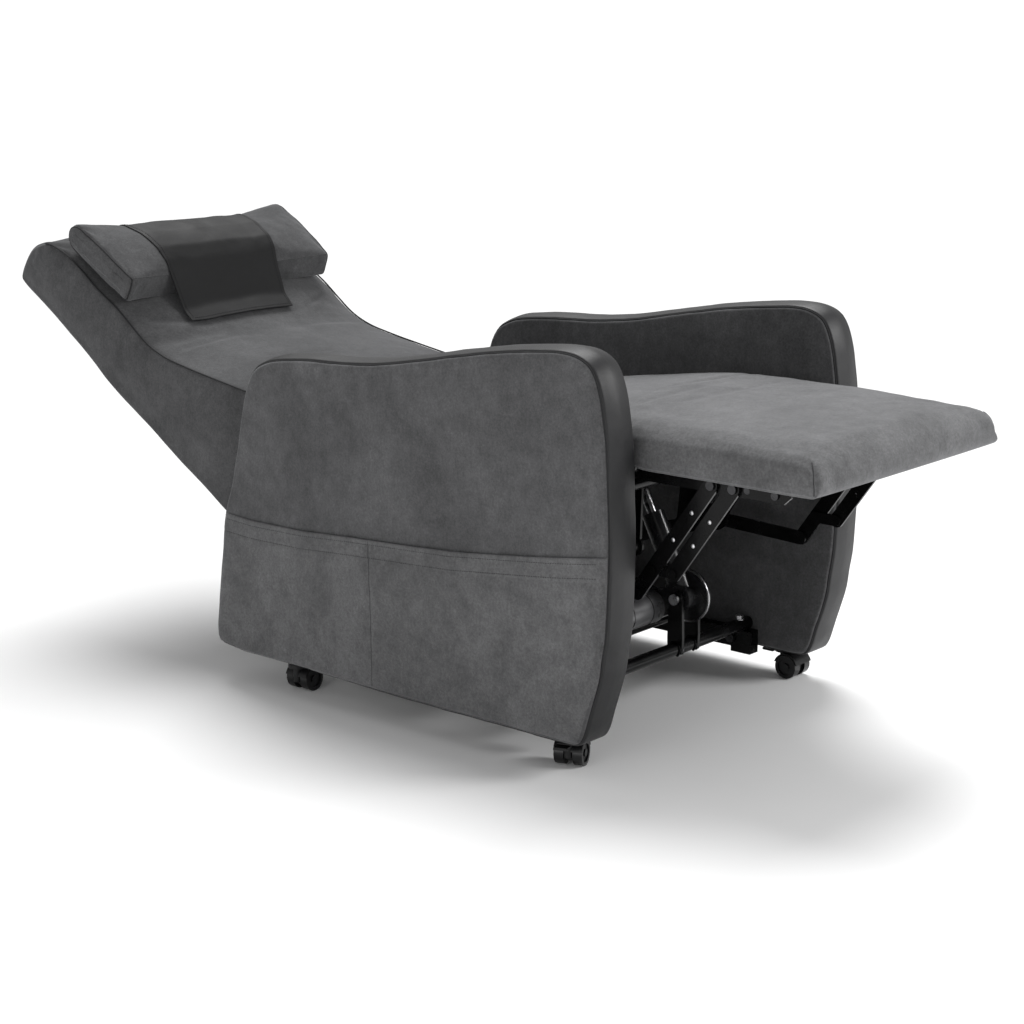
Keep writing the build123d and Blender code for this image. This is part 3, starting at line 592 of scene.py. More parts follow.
def tube(name, pts, r, mat, sides=8, closed=False, squash=1.0):
    """A cord of cloth or thread along the points (metres)."""
    pts = np.array(pts, float)
    n = len(pts)
    if closed:
        t = np.roll(pts, -1, 0) - np.roll(pts, 1, 0)
    else:
        t = np.gradient(pts, axis=0)
    t /= np.maximum(np.linalg.norm(t, axis=1)[:, None], 1e-12)
    up = np.array([1.0, 0, 0]) if abs(t[0][0]) < 0.8 else np.array([0, 0, 1.0])
    u = up - t[0] * (up @ t[0])
    u /= np.linalg.norm(u)
    V, F = [], []
    for i in range(n):
        u = u - t[i] * (u @ t[i])
        u /= max(np.linalg.norm(u), 1e-12)
        v = np.cross(t[i], u)
        for k in range(sides):
            a = 2 * math.pi * k / sides
            V.append(pts[i] + r * (math.cos(a) * u + math.sin(a) * v))
    for i in range(n if closed else n - 1):
        j = (i + 1) % n
        for k in range(sides):
            l = (k + 1) % sides
            F.append((i * sides + k, i * sides + l, j * sides + l, j * sides + k))
    if not closed:
        F.append(tuple(range(sides))[::-1])
        F.append(tuple((n - 1) * sides + k for k in range(sides)))
    return fix_normals(make_obj(name, V, F, [mat]))


def stitches(name, pts, mat, step=0.0045, length=0.0030, r=0.00042, lift=0.0002, normal=(1, 0, 0)):
    """A line of single stitches along the points (metres)."""
    pts = np.array(pts, float)
    s = np.concatenate([[0], np.cumsum(np.linalg.norm(np.diff(pts, axis=0), axis=1))])
    V, F = [], []
    nrm = np.array(normal, float)
    k = 0
    x = step / 2
    while x + length < s[-1]:
        a = np.array([np.interp(x, s, pts[:, i]) for i in range(3)])
        b = np.array([np.interp(x + length, s, pts[:, i]) for i in range(3)])
        t = (b - a) / max(np.linalg.norm(b - a), 1e-9)
        side = np.cross(t, nrm)
        side /= max(np.linalg.norm(side), 1e-9)
        base = len(V)
        for f, g in ((0.0, 0.15), (0.2, 0.85), (0.5, 1.0), (0.8, 0.85), (1.0, 0.15)):
            c = a + (b - a) * f + nrm * (lift + r * 0.6 * g)
            for q in range(6):
                an = 2 * math.pi * q / 6
                V.append(c + r * g * (math.cos(an) * side + math.sin(an) * nrm))
        for i in range(4):
            for q in range(6):
                w = (q + 1) % 6
                F.append((base + i * 6 + q, base + i * 6 + w, base + (i + 1) * 6 + w, base + (i + 1) * 6 + q))
        F.append(tuple(base + q for q in range(6))[::-1])
        F.append(tuple(base + 24 + q for q in range(6)))
        k += 1
        x += step
    return fix_normals(make_obj(name, V, F, [mat]))


# ------------------------------------------------------------------ outlines (mm)
ARM = [(248, 61), (263, 67), (267, 80), (262, 137), (252, 208), (241, 290), (222, 349), (205, 418),
       (186, 495), (175, 522), (160, 541), (139, 552), (121, 558), (53, 567), (-46, 572), (-120, 580),
       (-203, 595), (-283, 611), (-360, 624), (-435, 633), (-463, 635), (-490, 634), (-508, 629),
       (-523, 621), (-534, 606), (-541, 589), (-547, 568), (-553, 533), (-557, 505), (-561, 433),
       (-564, 361), (-563, 287), (-560, 227), (-555, 196), (-551, 165), (-542, 133), (-531, 100),
       (-521, 67), (-512, 53), (-500, 50), (-361, 50), (-155, 50), (79, 55)]
POCKET_TOP = [(243, 292), (174, 289), (58, 291), (-54, 299), (-161, 305), (-264, 311), (-363, 322),
              (-459, 333), (-551, 346), (-565, 348)]
BACK = [(12, 448), (40, 457), (90, 461), (150, 466), (210, 474), (269, 483), (345, 495), (410, 506), (470, 519), (511, 536),
        (546, 560), (587, 590), (639, 620), (681, 650), (718, 673), (748, 685), (778, 691), (801, 686),
        (825, 672), (844, 648), (853, 630), (855, 617), (848, 609), (798, 577), (727, 529), (665, 486), (613, 446),
        (553, 408), (494, 370), (436, 331), (378, 296), (330, 264), (306, 250), (288, 247), (268, 254),
        (200, 286), (140, 314), (90, 338), (50, 344), (8, 352), (-14, 376), (-18, 404), (-8, 432)]
SEATLEG = [(-31, 448), (-38, 462), (-60, 469), (-131, 481), (-230, 497), (-328, 511), (-400, 518), (-447, 520), (-500, 521),
           (-560, 521.5), (-595, 521.5), (-673, 521), (-744, 520), (-800, 519.5), (-836, 517.5), (-850, 511), (-856.5, 499),
           (-857, 480), (-856, 468), (-850, 461.5), (-836, 460.5), (-700, 460.5), (-600, 460.5), (-556, 461), (-532, 465),
           (-514, 471), (-496, 472), (-483, 466), (-477, 450), (-474, 437), (-462, 432.6), (-400, 425), (-300, 413), (-200, 401.5),
           (-100, 389.5), (-40, 382.5), (-29, 388), (-27.5, 410), (-28, 432)]
PILLOW = [(577, 600), (606, 615), (636, 631), (663, 649), (690, 665), (712, 680), (722, 692), (724, 708), (716, 722), (700, 726),
          (676, 716), (650, 702), (625, 687), (600, 670), (577, 654), (561, 641), (562, 630), (570, 610)]

# ------------------------------------------------------------------ arms


def arm_crown(P, u):
    # the leather band swells most over the top and the front
    z, y = P[:, 1], P[:, 0]
    base = np.where(z > 70, 1.0, 0.0)
    top = np.clip((z - 350) / 200, 0, 1)
    return base * (2.2 + 3.2 * top) * (1 - u * u) ** 0.6


for side, sgn in (("right", -1), ("left", 1)):
    arm, inf = soft_form(f"arm_{side}_cover", ARM, [(-400, 340), (-300, 330), (60, 300), (110, 280)], 35.0, xc=sgn * 302.0, n=220,
                         r_side=5.0, r_strip=3.6, crown=arm_crown, side_crown=1.6, strip_rows=16,
                         mats=(0, 1, 0), materials=[M["suede_arm"], M["leather"]])
    subdivide(arm, 1)
    lumps(arm, 0.0011, 7.0, 3.0 + sgn)
    lumps(arm, 0.00035, 30.0, 9.0 + sgn)
    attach(arm, "base")
    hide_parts(f"arm_{side}_leather_band", f"arm_{side}_side_pads", f"arm_{side}_core")
    # seam cord where the band meets each side panel
    Pin = inf["P"] - inf["N"] * 3.2
    good = Pin[:, 1] > 56
    start = int(np.argmin(np.where((Pin[:, 1] < 80) & (Pin[:, 0] > 200), np.abs(Pin[:, 0] - 262), 1e9)))
    ring = np.roll(Pin, -start, 0)
    ring = ring[ring[:, 1] > 57.5]
    for k, x in (("outer", 337.0 - 4.4), ("inner", 267.0 + 4.4)):
        pts = np.stack([np.full(len(ring), sgn * x), ring[:, 0] + YS, ring[:, 1]], 1) * MM
        t = tube(f"arm_{side}_seam_{k}", pts, 0.0011, M["seam"], sides=8)
        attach(t, "base")

# ------------------------------------------------------------------ pockets
Parm = catmull(ARM, 900)


def arm_y(z, front):
    """Y of the arm's front or rear edge at height z."""
    sel = Parm[(Parm[:, 0] < -490) if front else (Parm[:, 0] > 150)]
    sel = sel[np.argsort(sel[:, 1])]
    return np.interp(z, sel[:, 1], sel[:, 0])


def pocket_top(y):
    a = np.array(POCKET_TOP)[::-1]
    return np.interp(y, a[:, 0], a[:, 1])


def edge_dist(y, z):
    """Distance inside the arm's outline."""
    d = np.hypot(Parm[:, 0][None] - y.ravel()[:, None], Parm[:, 1][None] - z.ravel()[:, None]).min(1)
    return d.reshape(y.shape)


for side, sgn in (("right", -1), ("left", 1)):
    nu, nv = 150, 48
    us = np.linspace(0, 1, nu)
    hem = np.array([0, 1.2, 2.4, 4.5, 7, 9, 11, 16, 24, 32, 34, 36, 38, 40, 46], float)
    rest = np.linspace(54, 280, nv - len(hem))
    vs = np.concatenate([hem, rest])
    Y = np.zeros((nv, nu))
    Z = np.zeros((nv, nu))
    for i, v in enumerate(vs):
        for j, u in enumerate(us):
            yg = 245 - u * 805
            zt = pocket_top(yg)
            zb = 57.5
            z = zt - (zt - zb) * (v / 280.0) if v > 60 else zt - v * (zt - zb) / 280.0 * 1.02
            z = max(z, zb) - 1.8 * math.sin(math.pi * u) * math.exp(-v / 60.0)
            yr, yf = arm_y(z, False) - 4.2, arm_y(z, True) + 4.2
            Y[i, j] = yr + (yf - yr) * u
            Z[i, j] = z
    D = edge_dist(Y, Z)
    base = 337.0 - roll_in(np.maximum(D - 3.6, 0), 5.0) + 1.6 * (1 - np.exp(-np.maximum(D - 3.6, 0) / 45.0))
    proud = 1.6 * np.clip((D - 3.8) / 7.0, 0, 1) ** 0.5
    mouth = np.sin(np.pi * np.clip(us, 0, 1))[None, :] ** 0.5 * np.exp(-((vs / 95.0) ** 2))[:, None]
    X = base + 0.35 + proud + 3.6 * mouth
    for i, v in enumerate(vs):
        for j, u in enumerate(us):
            y, z = Y[i, j], Z[i, j]
            depth = vs[i]
            # top hem: a folded roll, then the two stitched lines sink in
            X[i, j] += 0.6 * math.exp(-(((depth - 4.0) / 4.0) ** 2)) * min(1, D[i, j] / 12)
            X[i, j] -= 0.9 * (depth < 1.0) * 1.0 + 0.3 * (1.0 <= depth < 2.0)
            X[i, j] -= 0.7 * math.exp(-(((depth - 11.0) / 1.4) ** 2)) * min(1, D[i, j] / 12)
            X[i, j] -= 0.7 * math.exp(-(((depth - 36.0) / 1.5) ** 2)) * min(1, D[i, j] / 12)
            X[i, j] += 0.5 * math.exp(-(((depth - 24.0) / 9.0) ** 2))
            # a vertical seam, slightly drawn in
            X[i, j] -= 0.8 * math.exp(-(((y + 96) / 2.6) ** 2)) * (1 if depth > 6 else 0.4)
            X[i, j] += 0.6 * math.exp(-(((abs(y + 96) - 9) / 7.0) ** 2))
            # slack cloth below the hem
            sl = math.exp(-(((depth - 62) / 60.0) ** 2)) * min(1, D[i, j] / 30)
            X[i, j] += 0.9 * sl * (0.4 + fbm((0, y * 0.001, z * 0.001), 11.0, 2, 4.0 + sgn))
    front = np.stack([sgn * X, Y + YS, Z], 2).reshape(-1, 3)
    # back skin just inside, so that the pocket is a real sheet with a thick turned top edge
    Xb = np.maximum(base - 0.4, X - 1.7)
    backv = np.stack([sgn * Xb, Y + YS, Z], 2).reshape(-1, 3)
    V = np.vstack([front, backv]) * MM
    F = []
    off = nu * nv
    for i in range(nv - 1):
        for j in range(nu - 1):
            a, b, c, d = i * nu + j, i * nu + j + 1, (i + 1) * nu + j + 1, (i + 1) * nu + j
            F.append((a, b, c, d))
            F.append((off + d, off + c, off + b, off + a))
    for j in range(nu - 1):
        F.append((j + 1, j, off + j, off + j + 1))
        a = (nv - 1) * nu + j
        F.append((a, a + 1, off + a + 1, off + a))
    for i in range(nv - 1):
        a = i * nu
        F.append((a, a + nu, off + a + nu, off + a))
        a = i * nu + nu - 1
        F.append((a + nu, a, off + a, off + a + nu))
    pk = fix_normals(make_obj(f"arm_{side}_pocket_cloth", V, F, [M["suede_pocket_painted_light"]]))
    lumps(pk, 0.0007, 12.0, 5.0 - sgn)
    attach(pk, "base")
    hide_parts(f"arm_{side}_pocket")
    bv = BVHTree.FromPolygons([Vector(v) for v in get_co(pk)], [tuple(p.vertices) for p in pk.data.polygons])

    def on_pocket(y, z):
        h = bv.ray_cast(Vector((sgn * 0.5, (y + YS) * MM, z * MM)), Vector((-sgn, 0, 0)))
        return h[0]

    for nm, dep, w in (("upper", 11.0, 1), ("lower", 36.0, 1)):
        pts = []
        for y in np.linspace(232, -548, 240):
            p = on_pocket(y, pocket_top(y) - dep * 0.85)
            if p is not None:
                pts.append(p)
        st = stitches(f"arm_{side}_pocket_stitch_{nm}", np.array(pts), M["seam"], normal=(sgn, 0, 0))
        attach(st, "base")
    pts = [on_pocket(-96, z) for z in np.linspace(pocket_top(-96.0) - 4.0, 60, 120)]
    pts = np.array([p for p in pts if p is not None])
    t = tube(f"arm_{side}_pocket_seam", pts, 0.0005, M["seam_suede"], sides=6)
    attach(t, "base")

# ------------------------------------------------------------------ seat and leg rest cover


def seat_crown(P, u):
    y, z = P[:, 0], P[:, 1]
    top = (z > 440 + (y + 500) * -0.10) & (z > np.interp(y, [-860, -500, -30], [490, 495, 425]))
    front = (y < -845) & (z > 464)
    c = np.where(top, 6.0, 0.0) + np.where(front & ~top, 2.0, 0.0)
    return c * (1 - abs(u) ** 2.6)


seat, inf = soft_form("seat_and_legrest_cover", SEATLEG, [(-826, 489), (-600, 492), (-500, 497), (-300, 462), (-60, 428)], 257.0, n=210,
                      crown=seat_crown, side_crown=1.0, strip_rows=34,
                      edge_r=lambda P: np.where(P[:, 1] > np.interp(P[:, 0], [-860, -500, -30], [480, 492, 420]), 10.0, 3.5),
                      mats=(0, 0, 0), materials=[M["suede_seat_painted_light"]])
co = get_co(seat)
pin = np.zeros(len(co))
yy, zz = co[:, 1] / MM, co[:, 2] / MM
under = np.interp(yy, [-860, -540, -500, -478, -470, -28], [466, 466, 474, 474, 438, 386])
pin[zz < under] = 1.0
pin[yy > -36] = 1.0
near = np.abs(co[:, 0]) > 0.2475
pin[near] = np.maximum(pin[near], 0.6)
cloth_puff(seat, pin, pressure=2.2, cap=0.0045)
# the top rolls over its edges without a line
bm = bmesh.new()
bm.from_mesh(seat.data)
soft = [v for v in bm.verts if v.co.z / MM > float(np.interp(v.co.y / MM, [-860, -500, -30], [496, 496, 424]))
        and (abs(v.co.x) > 0.226 or v.co.y < -0.828)]
for _ in range(10):
    bmesh.ops.smooth_vert(bm, verts=soft, factor=0.5, use_axis_x=True, use_axis_y=True, use_axis_z=True)
bm.to_mesh(seat.data)
bm.free()
subdivide(seat, 1)
top_mask = lambda c: (c[:, 2] / MM > np.interp(c[:, 1] / MM, [-860, -500, -30], [470, 480, 410])).astype(float)
lumps(seat, 0.0016, 5.0, 1.7, top_mask)
lumps(seat, 0.0005, 17.0, 6.1, top_mask)
crease(seat, (0.02, -0.405, 0.530), (0.25, -0.425, 0.526), 0.007, 0.0016)
crease(seat, (-0.22, -0.455, 0.527), (0.10, -0.445, 0.531), 0.008, 0.0014)
crease(seat, (-0.10, -0.50, 0.531), (0.22, -0.515, 0.530), 0.010, 0.0012)
co = get_co(seat)
co[:, 0] = 0.2475 * np.sign(co[:, 0]) * np.where(np.abs(co[:, 0]) > 0.2475, 1 + np.tanh((np.abs(co[:, 0]) - 0.2475) / 0.015) * 0.0148 / 0.2475,
                                                 np.abs(co[:, 0]) / 0.2475)
set_co(seat, co)
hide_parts("seat_cushion", "legrest_pad")

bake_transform(seat)
bvs = BVHTree.FromPolygons([Vector(v) for v in get_co(seat)], [tuple(p.vertices) for p in seat.data.polygons])
for sgn, nm in ((-1, "right"), (1, "left")):
    pts = []
    for z in np.linspace(466, 510, 30):
        d = Vector((-sgn, 1.0, 0)).normalized()
        h = bvs.ray_cast(Vector((sgn * 0.30, -0.895, z * MM)), d)
        if h[0] is not None:
            pts.append(h[0] + d * 0.0003)
    if len(pts) > 3:
        t = tube(f"legrest_corner_seam_{nm}", np.array(pts), 0.0013, M["seam_suede"], sides=8)
        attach(t, "legrest")

# ------------------------------------------------------------------ backrest


def back_crown(P, u):
    y, z = P[:, 0], P[:, 1]
    line = np.interp(y, [-20, 60, 330, 600, 860], [400, 400, 380, 520, 660])
    frontside = (z > line) & (y < 790)
    rear = (z < line)
    c = np.where(frontside, 11.0, 0.0) + np.where(rear, 3.0, 0.0)
    c = np.where((y >= 790), 4.0, c)
    c = c * np.interp(y, [-20, 60, 120], [0.2, 0.6, 1.0])
    return c * (1 - abs(u) ** 2.8)


back, binf = soft_form("backrest_cover", BACK, [(50, 400), (150, 395), (300, 370), (420, 420), (520, 455), (640, 535), (740, 605), (800, 640)], 258.0, n=230,
                       r_side=5.0, r_strip=5.0, crown=back_crown, side_crown=2.6, strip_rows=34,
                       mats=(0, 0, 0), materials=[M["suede"]])
# the sides draw in beside the seat frame, round the hinge
co = get_co(back)
yy, zz = co[:, 1] / MM - YS, co[:, 2] / MM
dk = np.hypot(yy - 40, zz - 400)
lim = 197 + 65 * np.sin(np.clip((dk - 84) / 54, 0, 1) * math.pi / 2)
co[:, 0] = np.clip(co[:, 0] / MM, -lim, lim) * MM
set_co(back, co)
pin = np.zeros(len(co))
n = binf["n"]
for r in (binf["seamA"], binf["seamB"]):
    pin[r * n:(r + 1) * n] = 1.0
pin[dk < 110] = 1.0
pin[(zz < np.interp(yy, [0, 330, 860], [350, 300, 640]))] = np.maximum(pin[(zz < np.interp(yy, [0, 330, 860], [350, 300, 640]))], 0.9)
cloth_puff(back, pin, pressure=3.0, cap=0.008)
subdivide(back, 1)
lumps(back, 0.0015, 5.0, 2.9)
lumps(back, 0.0005, 18.0, 7.3)
# soft folds under the head pillow
crease(back, (0.272, 0.571, 0.584), (0.10, 0.505, 0.548), 0.006, 0.0036)
crease(back, (-0.272, 0.566, 0.580), (-0.12, 0.515, 0.552), 0.009, 0.0026)
crease(back, (-0.24, 0.500, 0.538), (-0.10, 0.480, 0.535), 0.014, 0.0022)
crease(back, (0.05, 0.470, 0.532), (0.20, 0.485, 0.538), 0.016, 0.0018)
crease(back, (-0.20, 0.330, 0.500), (0.05, 0.300, 0.502), 0.020, 0.0016)
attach(back, "backrest")
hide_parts("back_cushion", "back_shell")
bvb = BVHTree.FromPolygons([Vector(v) for v in get_co(back)], [tuple(p.vertices) for p in back.data.polygons])
Pb = binf["P"] - binf["N"] * 4.2
i0 = int(np.argmin(np.hypot(Pb[:, 0] - 110, Pb[:, 1] - 459)))
ring = np.roll(Pb, -i0, 0)
if ring[5, 0] < ring[0, 0]:
    ring = ring[::-1]
end = int(np.argmin(np.hypot(ring[:, 0] - 782, ring[:, 1] - 688)))
end2 = int(np.argmin(np.hypot(ring[:, 0] - 300, ring[:, 1] - 252)))
front_seam = ring[: end + 1]
front_seam = front_seam[np.hypot(front_seam[:, 0] - 40, front_seam[:, 1] - 400) > 136]
for sgn, nm in ((-1, "right"), (1, "left")):
    pts = np.stack([np.full(len(front_seam), sgn * (258.0 - 3.9)), front_seam[:, 0] + YS, front_seam[:, 1]], 1) * MM
    t = tube(f"backrest_seam_{nm}", pts, 0.0015, M["seam"], sides=8)
    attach(t, "backrest")
# ------------------------------------------------------------------ head pillow


def pillow_crown(P, u):
    y, z = P[:, 0], P[:, 1]
    up = z > np.interp(y, [560, 724], [622, 700])
    frontb = (y < 575) & (z < 646)
    au = abs(u + 0.02)
    waist = 1.0 - max(0.0, min(1.0, (au - 0.50) / 0.47)) ** 1.15
    mid = np.interp(y, [560, 575, 605, 643, 665, 690, 722], [-6.0, -1.0, 8.0, 3.0, -4.0, -11.0, -15.0])
    c = np.where(up, mid * waist, 0.0)
    c = np.where(frontb, 4.0 * (1 - abs(u) ** 2.2) - 9.0 * waist, c)
    return c


pil, pinf = soft_form("head_pillow", PILLOW, [(592, 635), (640, 662), (698, 698)], 252.0, n=110, r_side=4.0, r_strip=4.0,
                      crown=pillow_crown, side_crown=7.0, strip_rows=34, mats=(0, 0, 0), materials=[M["suede"]],
                      taper=lambda q: np.interp(q[:, 0], [556, 600, 730], [0.962, 0.985, 1.0]))
co = get_co(pil)
pin = np.zeros(len(co))
n = pinf["n"]
for r in (pinf["seamA"], pinf["seamB"]):
    pin[r * n:(r + 1) * n] = 1.0
yy, zz = co[:, 1] / MM, co[:, 2] / MM
low = zz < np.interp(yy, [570, 724], [606, 694])
pin[low] = 1.0
cloth_puff(pil, pin, pressure=2.5, cap=0.004)
subdivide(pil, 1)
lumps(pil, 0.0022, 9.0, 4.4)
lumps(pil, 0.0006, 26.0, 8.2)
for x in (-0.235, 0.232):
    crease(pil, (x, 0.60, 0.690), (x * 0.86, 0.655, 0.722), 0.007, 0.003)
    crease(pil, (x * 1.02, 0.575, 0.622), (x * 0.90, 0.565, 0.628), 0.006, 0.002)
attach(pil, "headrest")
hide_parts("headrest_pillow")
bvp = BVHTree.FromPolygons([Vector(v) for v in get_co(pil)], [tuple(p.vertices) for p in pil.data.polygons])
# seam round each end, and along the front top edge
for sgn, nm in ((-1, "right"), (1, "left")):
    Pp = pinf["P"] - pinf["N"] * 1.2
    k = np.interp(Pp[:, 0], [556, 600, 730], [0.962, 0.985, 1.0])
    pts = np.stack([sgn * (252.0 - 1.2) * k, Pp[:, 0] + YS, Pp[:, 1]], 1) * MM
    pts = np.array([(lambda h: h[0] + h[1] * 0.0003)(bvp.find_nearest(Vector(q))) for q in pts])
    t = tube(f"pillow_end_seam_{nm}", pts, 0.0013, M["seam"], sides=8, closed=True)
    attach(t, "headrest")
pts = []
for x in np.linspace(-0.240, 0.240, 120):
    h = bvp.ray_cast(Vector((x, 0.50, 0.665)), Vector((0, 0.93, -0.36)).normalized())
    if h[0] is not None:
        pts.append(h[0])
if len(pts) > 3:
    t = tube("pillow_front_seam", np.array(pts), 0.0011, M["seam_suede"], sides=8)
    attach(t, "headrest")

# ------------------------------------------------------------------ leather flap over the pillow
path = catmull([(741, 680), (737, 692), (726, 703), (708, 710), (686, 711), (664, 708.5), (643, 703), (622, 695), (603, 683), (587, 669),
                (573, 651), (561, 631), (550, 610), (539, 587), (529, 565), (520, 546)], 100, closed=False)
S = np.concatenate([[0], np.cumsum(np.linalg.norm(np.diff(path, axis=0), axis=1))])
nu = 72
tan = np.gradient(path, axis=0)
tan /= np.linalg.norm(tan, axis=1)[:, None]
nor = np.stack([tan[:, 1], -tan[:, 0]], 1)
nor = np.where((nor[:, 1:] < 0) & (path[:, :1] > 600), -nor, nor)
FL = np.zeros((len(path), nu, 3))
for i, (p, s) in enumerate(zip(path, S)):
    f = s / S[-1]
    xl = -152.0 + 2.0 * f
    xr = float(np.interp(f, [0.0, 0.25, 0.55, 0.8, 1.0], [140.0, 136.0, 120.0, 104.0, 93.0]))
    for j in range(nu):
        u = j / (nu - 1)
        x = xl + (xr - xl) * u
        w = 0.0
        hang = max(0.0, (f - 0.62) / 0.38)
        w += 3.2 * hang * math.sin(u * 7.0 + 0.6) * (0.4 + 0.6 * hang) * 0.5
        w += 2.2 * math.exp(-(((f - 0.22) / 0.16) ** 2)) * math.sin(u * 15.0 + f * 22.0) * math.exp(-(((u - 0.30) / 0.34) ** 2))
        w += 1.6 * fbm((x * MM, p[0] * MM, p[1] * MM), 16.0, 3, 3.3)
        FL[i, j] = (x, p[0] + nor[i, 0] * w + YS, p[1] + nor[i, 1] * w)
FL *= MM


def outside(q, bvh, gap, reach=0.06):
    """The point moved out of the form, to at least gap in front of it."""
    h = bvh.find_nearest(q)
    if h[0] is None or (q - h[0]).length > reach:
        return q
    d = (q - h[0]).dot(h[1])
    return h[0] + h[1] * gap if d < gap else q


SLIDE = Vector((0, 0.85264, 0.5225))
for it in range(10):
    for i in range(len(path)):
        f = S[i] / S[-1]
        hug = 0.0
        for j in range(nu):
            q = Vector(FL[i, j])
            if hug > 0:
                h = bvp.find_nearest(q)
                if h[0] is not None:
                    q = q.lerp(h[0] + h[1] * 0.0026, 0.5 * hug)
            q = outside(q, bvp, 0.0024)
            q = outside(q, bvb, 0.0026, 0.03)
            # clear of the back at every place along the slide, too
            for d in ((-0.012, 0.014, 0.030, 0.045) if it in (3, 6, 8, 9) else ()):
                q = outside(q + SLIDE * d, bvb, 0.0045, 0.04) - SLIDE * d
            FL[i, j] = q
    if it < 9:
        sm = FL.copy()
        sm[1:-1] = FL[1:-1] * 0.4 + 0.3 * (FL[:-2] + FL[2:])
        sm[:, 1:-1] = sm[:, 1:-1] * 0.7 + 0.15 * (sm[:, :-2] + sm[:, 2:])
        FL = sm
# long soft folds over the top, only outwards
for i in range(len(path)):
    f = S[i] / S[-1]
    for j in range(nu):
        u = j / (nu - 1)
        g = math.exp(-(((f - 0.30) / 0.15) ** 2)) * math.exp(-(((u - 0.58) / 0.28) ** 2))
        w = 3.4 * g * max(0.0, math.sin(13.0 * u - 15.0 * f + 0.4)) ** 2 * MM
        FL[i, j] += np.array([0.0, nor[i, 0] * w, nor[i, 1] * w])
ni = len(path)
V = FL.reshape(-1, 3)
F = [(i * nu + j, i * nu + j + 1, (i + 1) * nu + j + 1, (i + 1) * nu + j) for i in range(ni - 1) for j in range(nu - 1)]
flap = make_obj("headrest_leather_cover", V, F, [M["flap"]])
md = flap.modifiers.new("thick", "SOLIDIFY")
md.thickness = 0.0016
md.offset = 1.0
md2 = flap.modifiers.new("sub", "SUBSURF")
md2.levels = md2.render_levels = 1
apply_mods(flap)
fix_normals(flap)
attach(flap, "headrest")
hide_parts("headrest_leather_flap")
flat_nrm = (0, 0, 1)
bvf = BVHTree.FromPolygons([Vector(v) for v in get_co(flap)], [tuple(p.vertices) for p in flap.data.polygons])


def hem(name, cols):
    pts = []
    for i, j in cols:
        q = Vector(FL[i, j])
        h = bvf.find_nearest(q + Vector((0, -0.006, 0.006)))
        pts.append(np.array(h[0]) + np.array(h[1]) * 0.0002)
    st = stitches(name, np.array(pts), M["seam"], step=0.0042, length=0.0028, r=0.0004, normal=tuple(np.array([0, -0.6, 0.8])))
    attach(st, "headrest")


hem("flap_stitch_right", [(i, 2) for i in range(2, ni - 2)])
hem("flap_stitch_left", [(i, nu - 3) for i in range(2, ni - 2)])
hem("flap_stitch_bottom", [(ni - 4, j) for j in range(2, nu - 2)])

# ------------------------------------------------------------------ CAD nodes: edges and materials
SLOT = {"black_leather": "leather", "charcoal_suede": "suede", "board_wood": "wood", "zinc_steel": "zinc", "black_steel": "black_steel",
        "gear_casting": "casting", "motor_plastic": "motor", "castor_plastic": "castor", "castor_tread": "tread"}
node_slot = {s["node"]: s["material_slot"] for s in frame["record"]["subparts"]}
for name, ob in frame["nodes"].items():
    if ob.hide_render:
        continue
    mat = M[SLOT[node_slot[name]]]
    if name.endswith("_rod"):
        mat = M["rod"]
    if name in ("legrest_fasteners", "seat_frame_pins", "base_bolts"):
        mat = M["dark_zinc"]
    if name in ("lift_actuator_motor",):
        mat = M["housing"]
    ob.data.materials.clear()
    ob.data.materials.append(mat)
    # black steel and castings get the grey metal strip on their bevels: painted highlight along the edges
    if node_slot[name] in ("black_steel", "gear_casting"):
        ob.data.materials.append(M["edge"])
    bv = ob.modifiers.new("edge", "BEVEL")
    bv.width = 0.0008
    if len(ob.data.materials) > 1:
        bv.material = 1
    bv.segments = 2
    bv.limit_method = "ANGLE"
    bv.angle_limit = math.radians(35)
    bv.harden_normals = False

# ------------------------------------------------------------------ small hardware
def lathe_x(name, prof, centre, mat, body, sides=40, sgn=1.0):
    """A turned piece about an axis along X. prof is (x, r) in mm; centre is (x, y, z) in mm."""
    V, F = [], []
    for x, r in prof:
        for k in range(sides):
            a = 2 * math.pi * k / sides
            V.append(((centre[0] + sgn * x) * MM, (centre[1] + YS + r * math.cos(a)) * MM, (centre[2] + r * math.sin(a)) * MM))
    m = len(prof)
    for i in range(m - 1):
        for k in range(sides):
            l = (k + 1) % sides
            F.append((i * sides + k, i * sides + l, (i + 1) * sides + l, (i + 1) * sides + k))
    F.append(tuple(range(sides)))
    F.append(tuple((m - 1) * sides + k for k in range(sides)))
    ob = fix_normals(make_obj(name, V, F, [mat]))
    md = ob.modifiers.new("split", "EDGE_SPLIT")
    md.split_angle = math.radians(42)
    apply_mods(ob)
    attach(ob, body)
    return ob


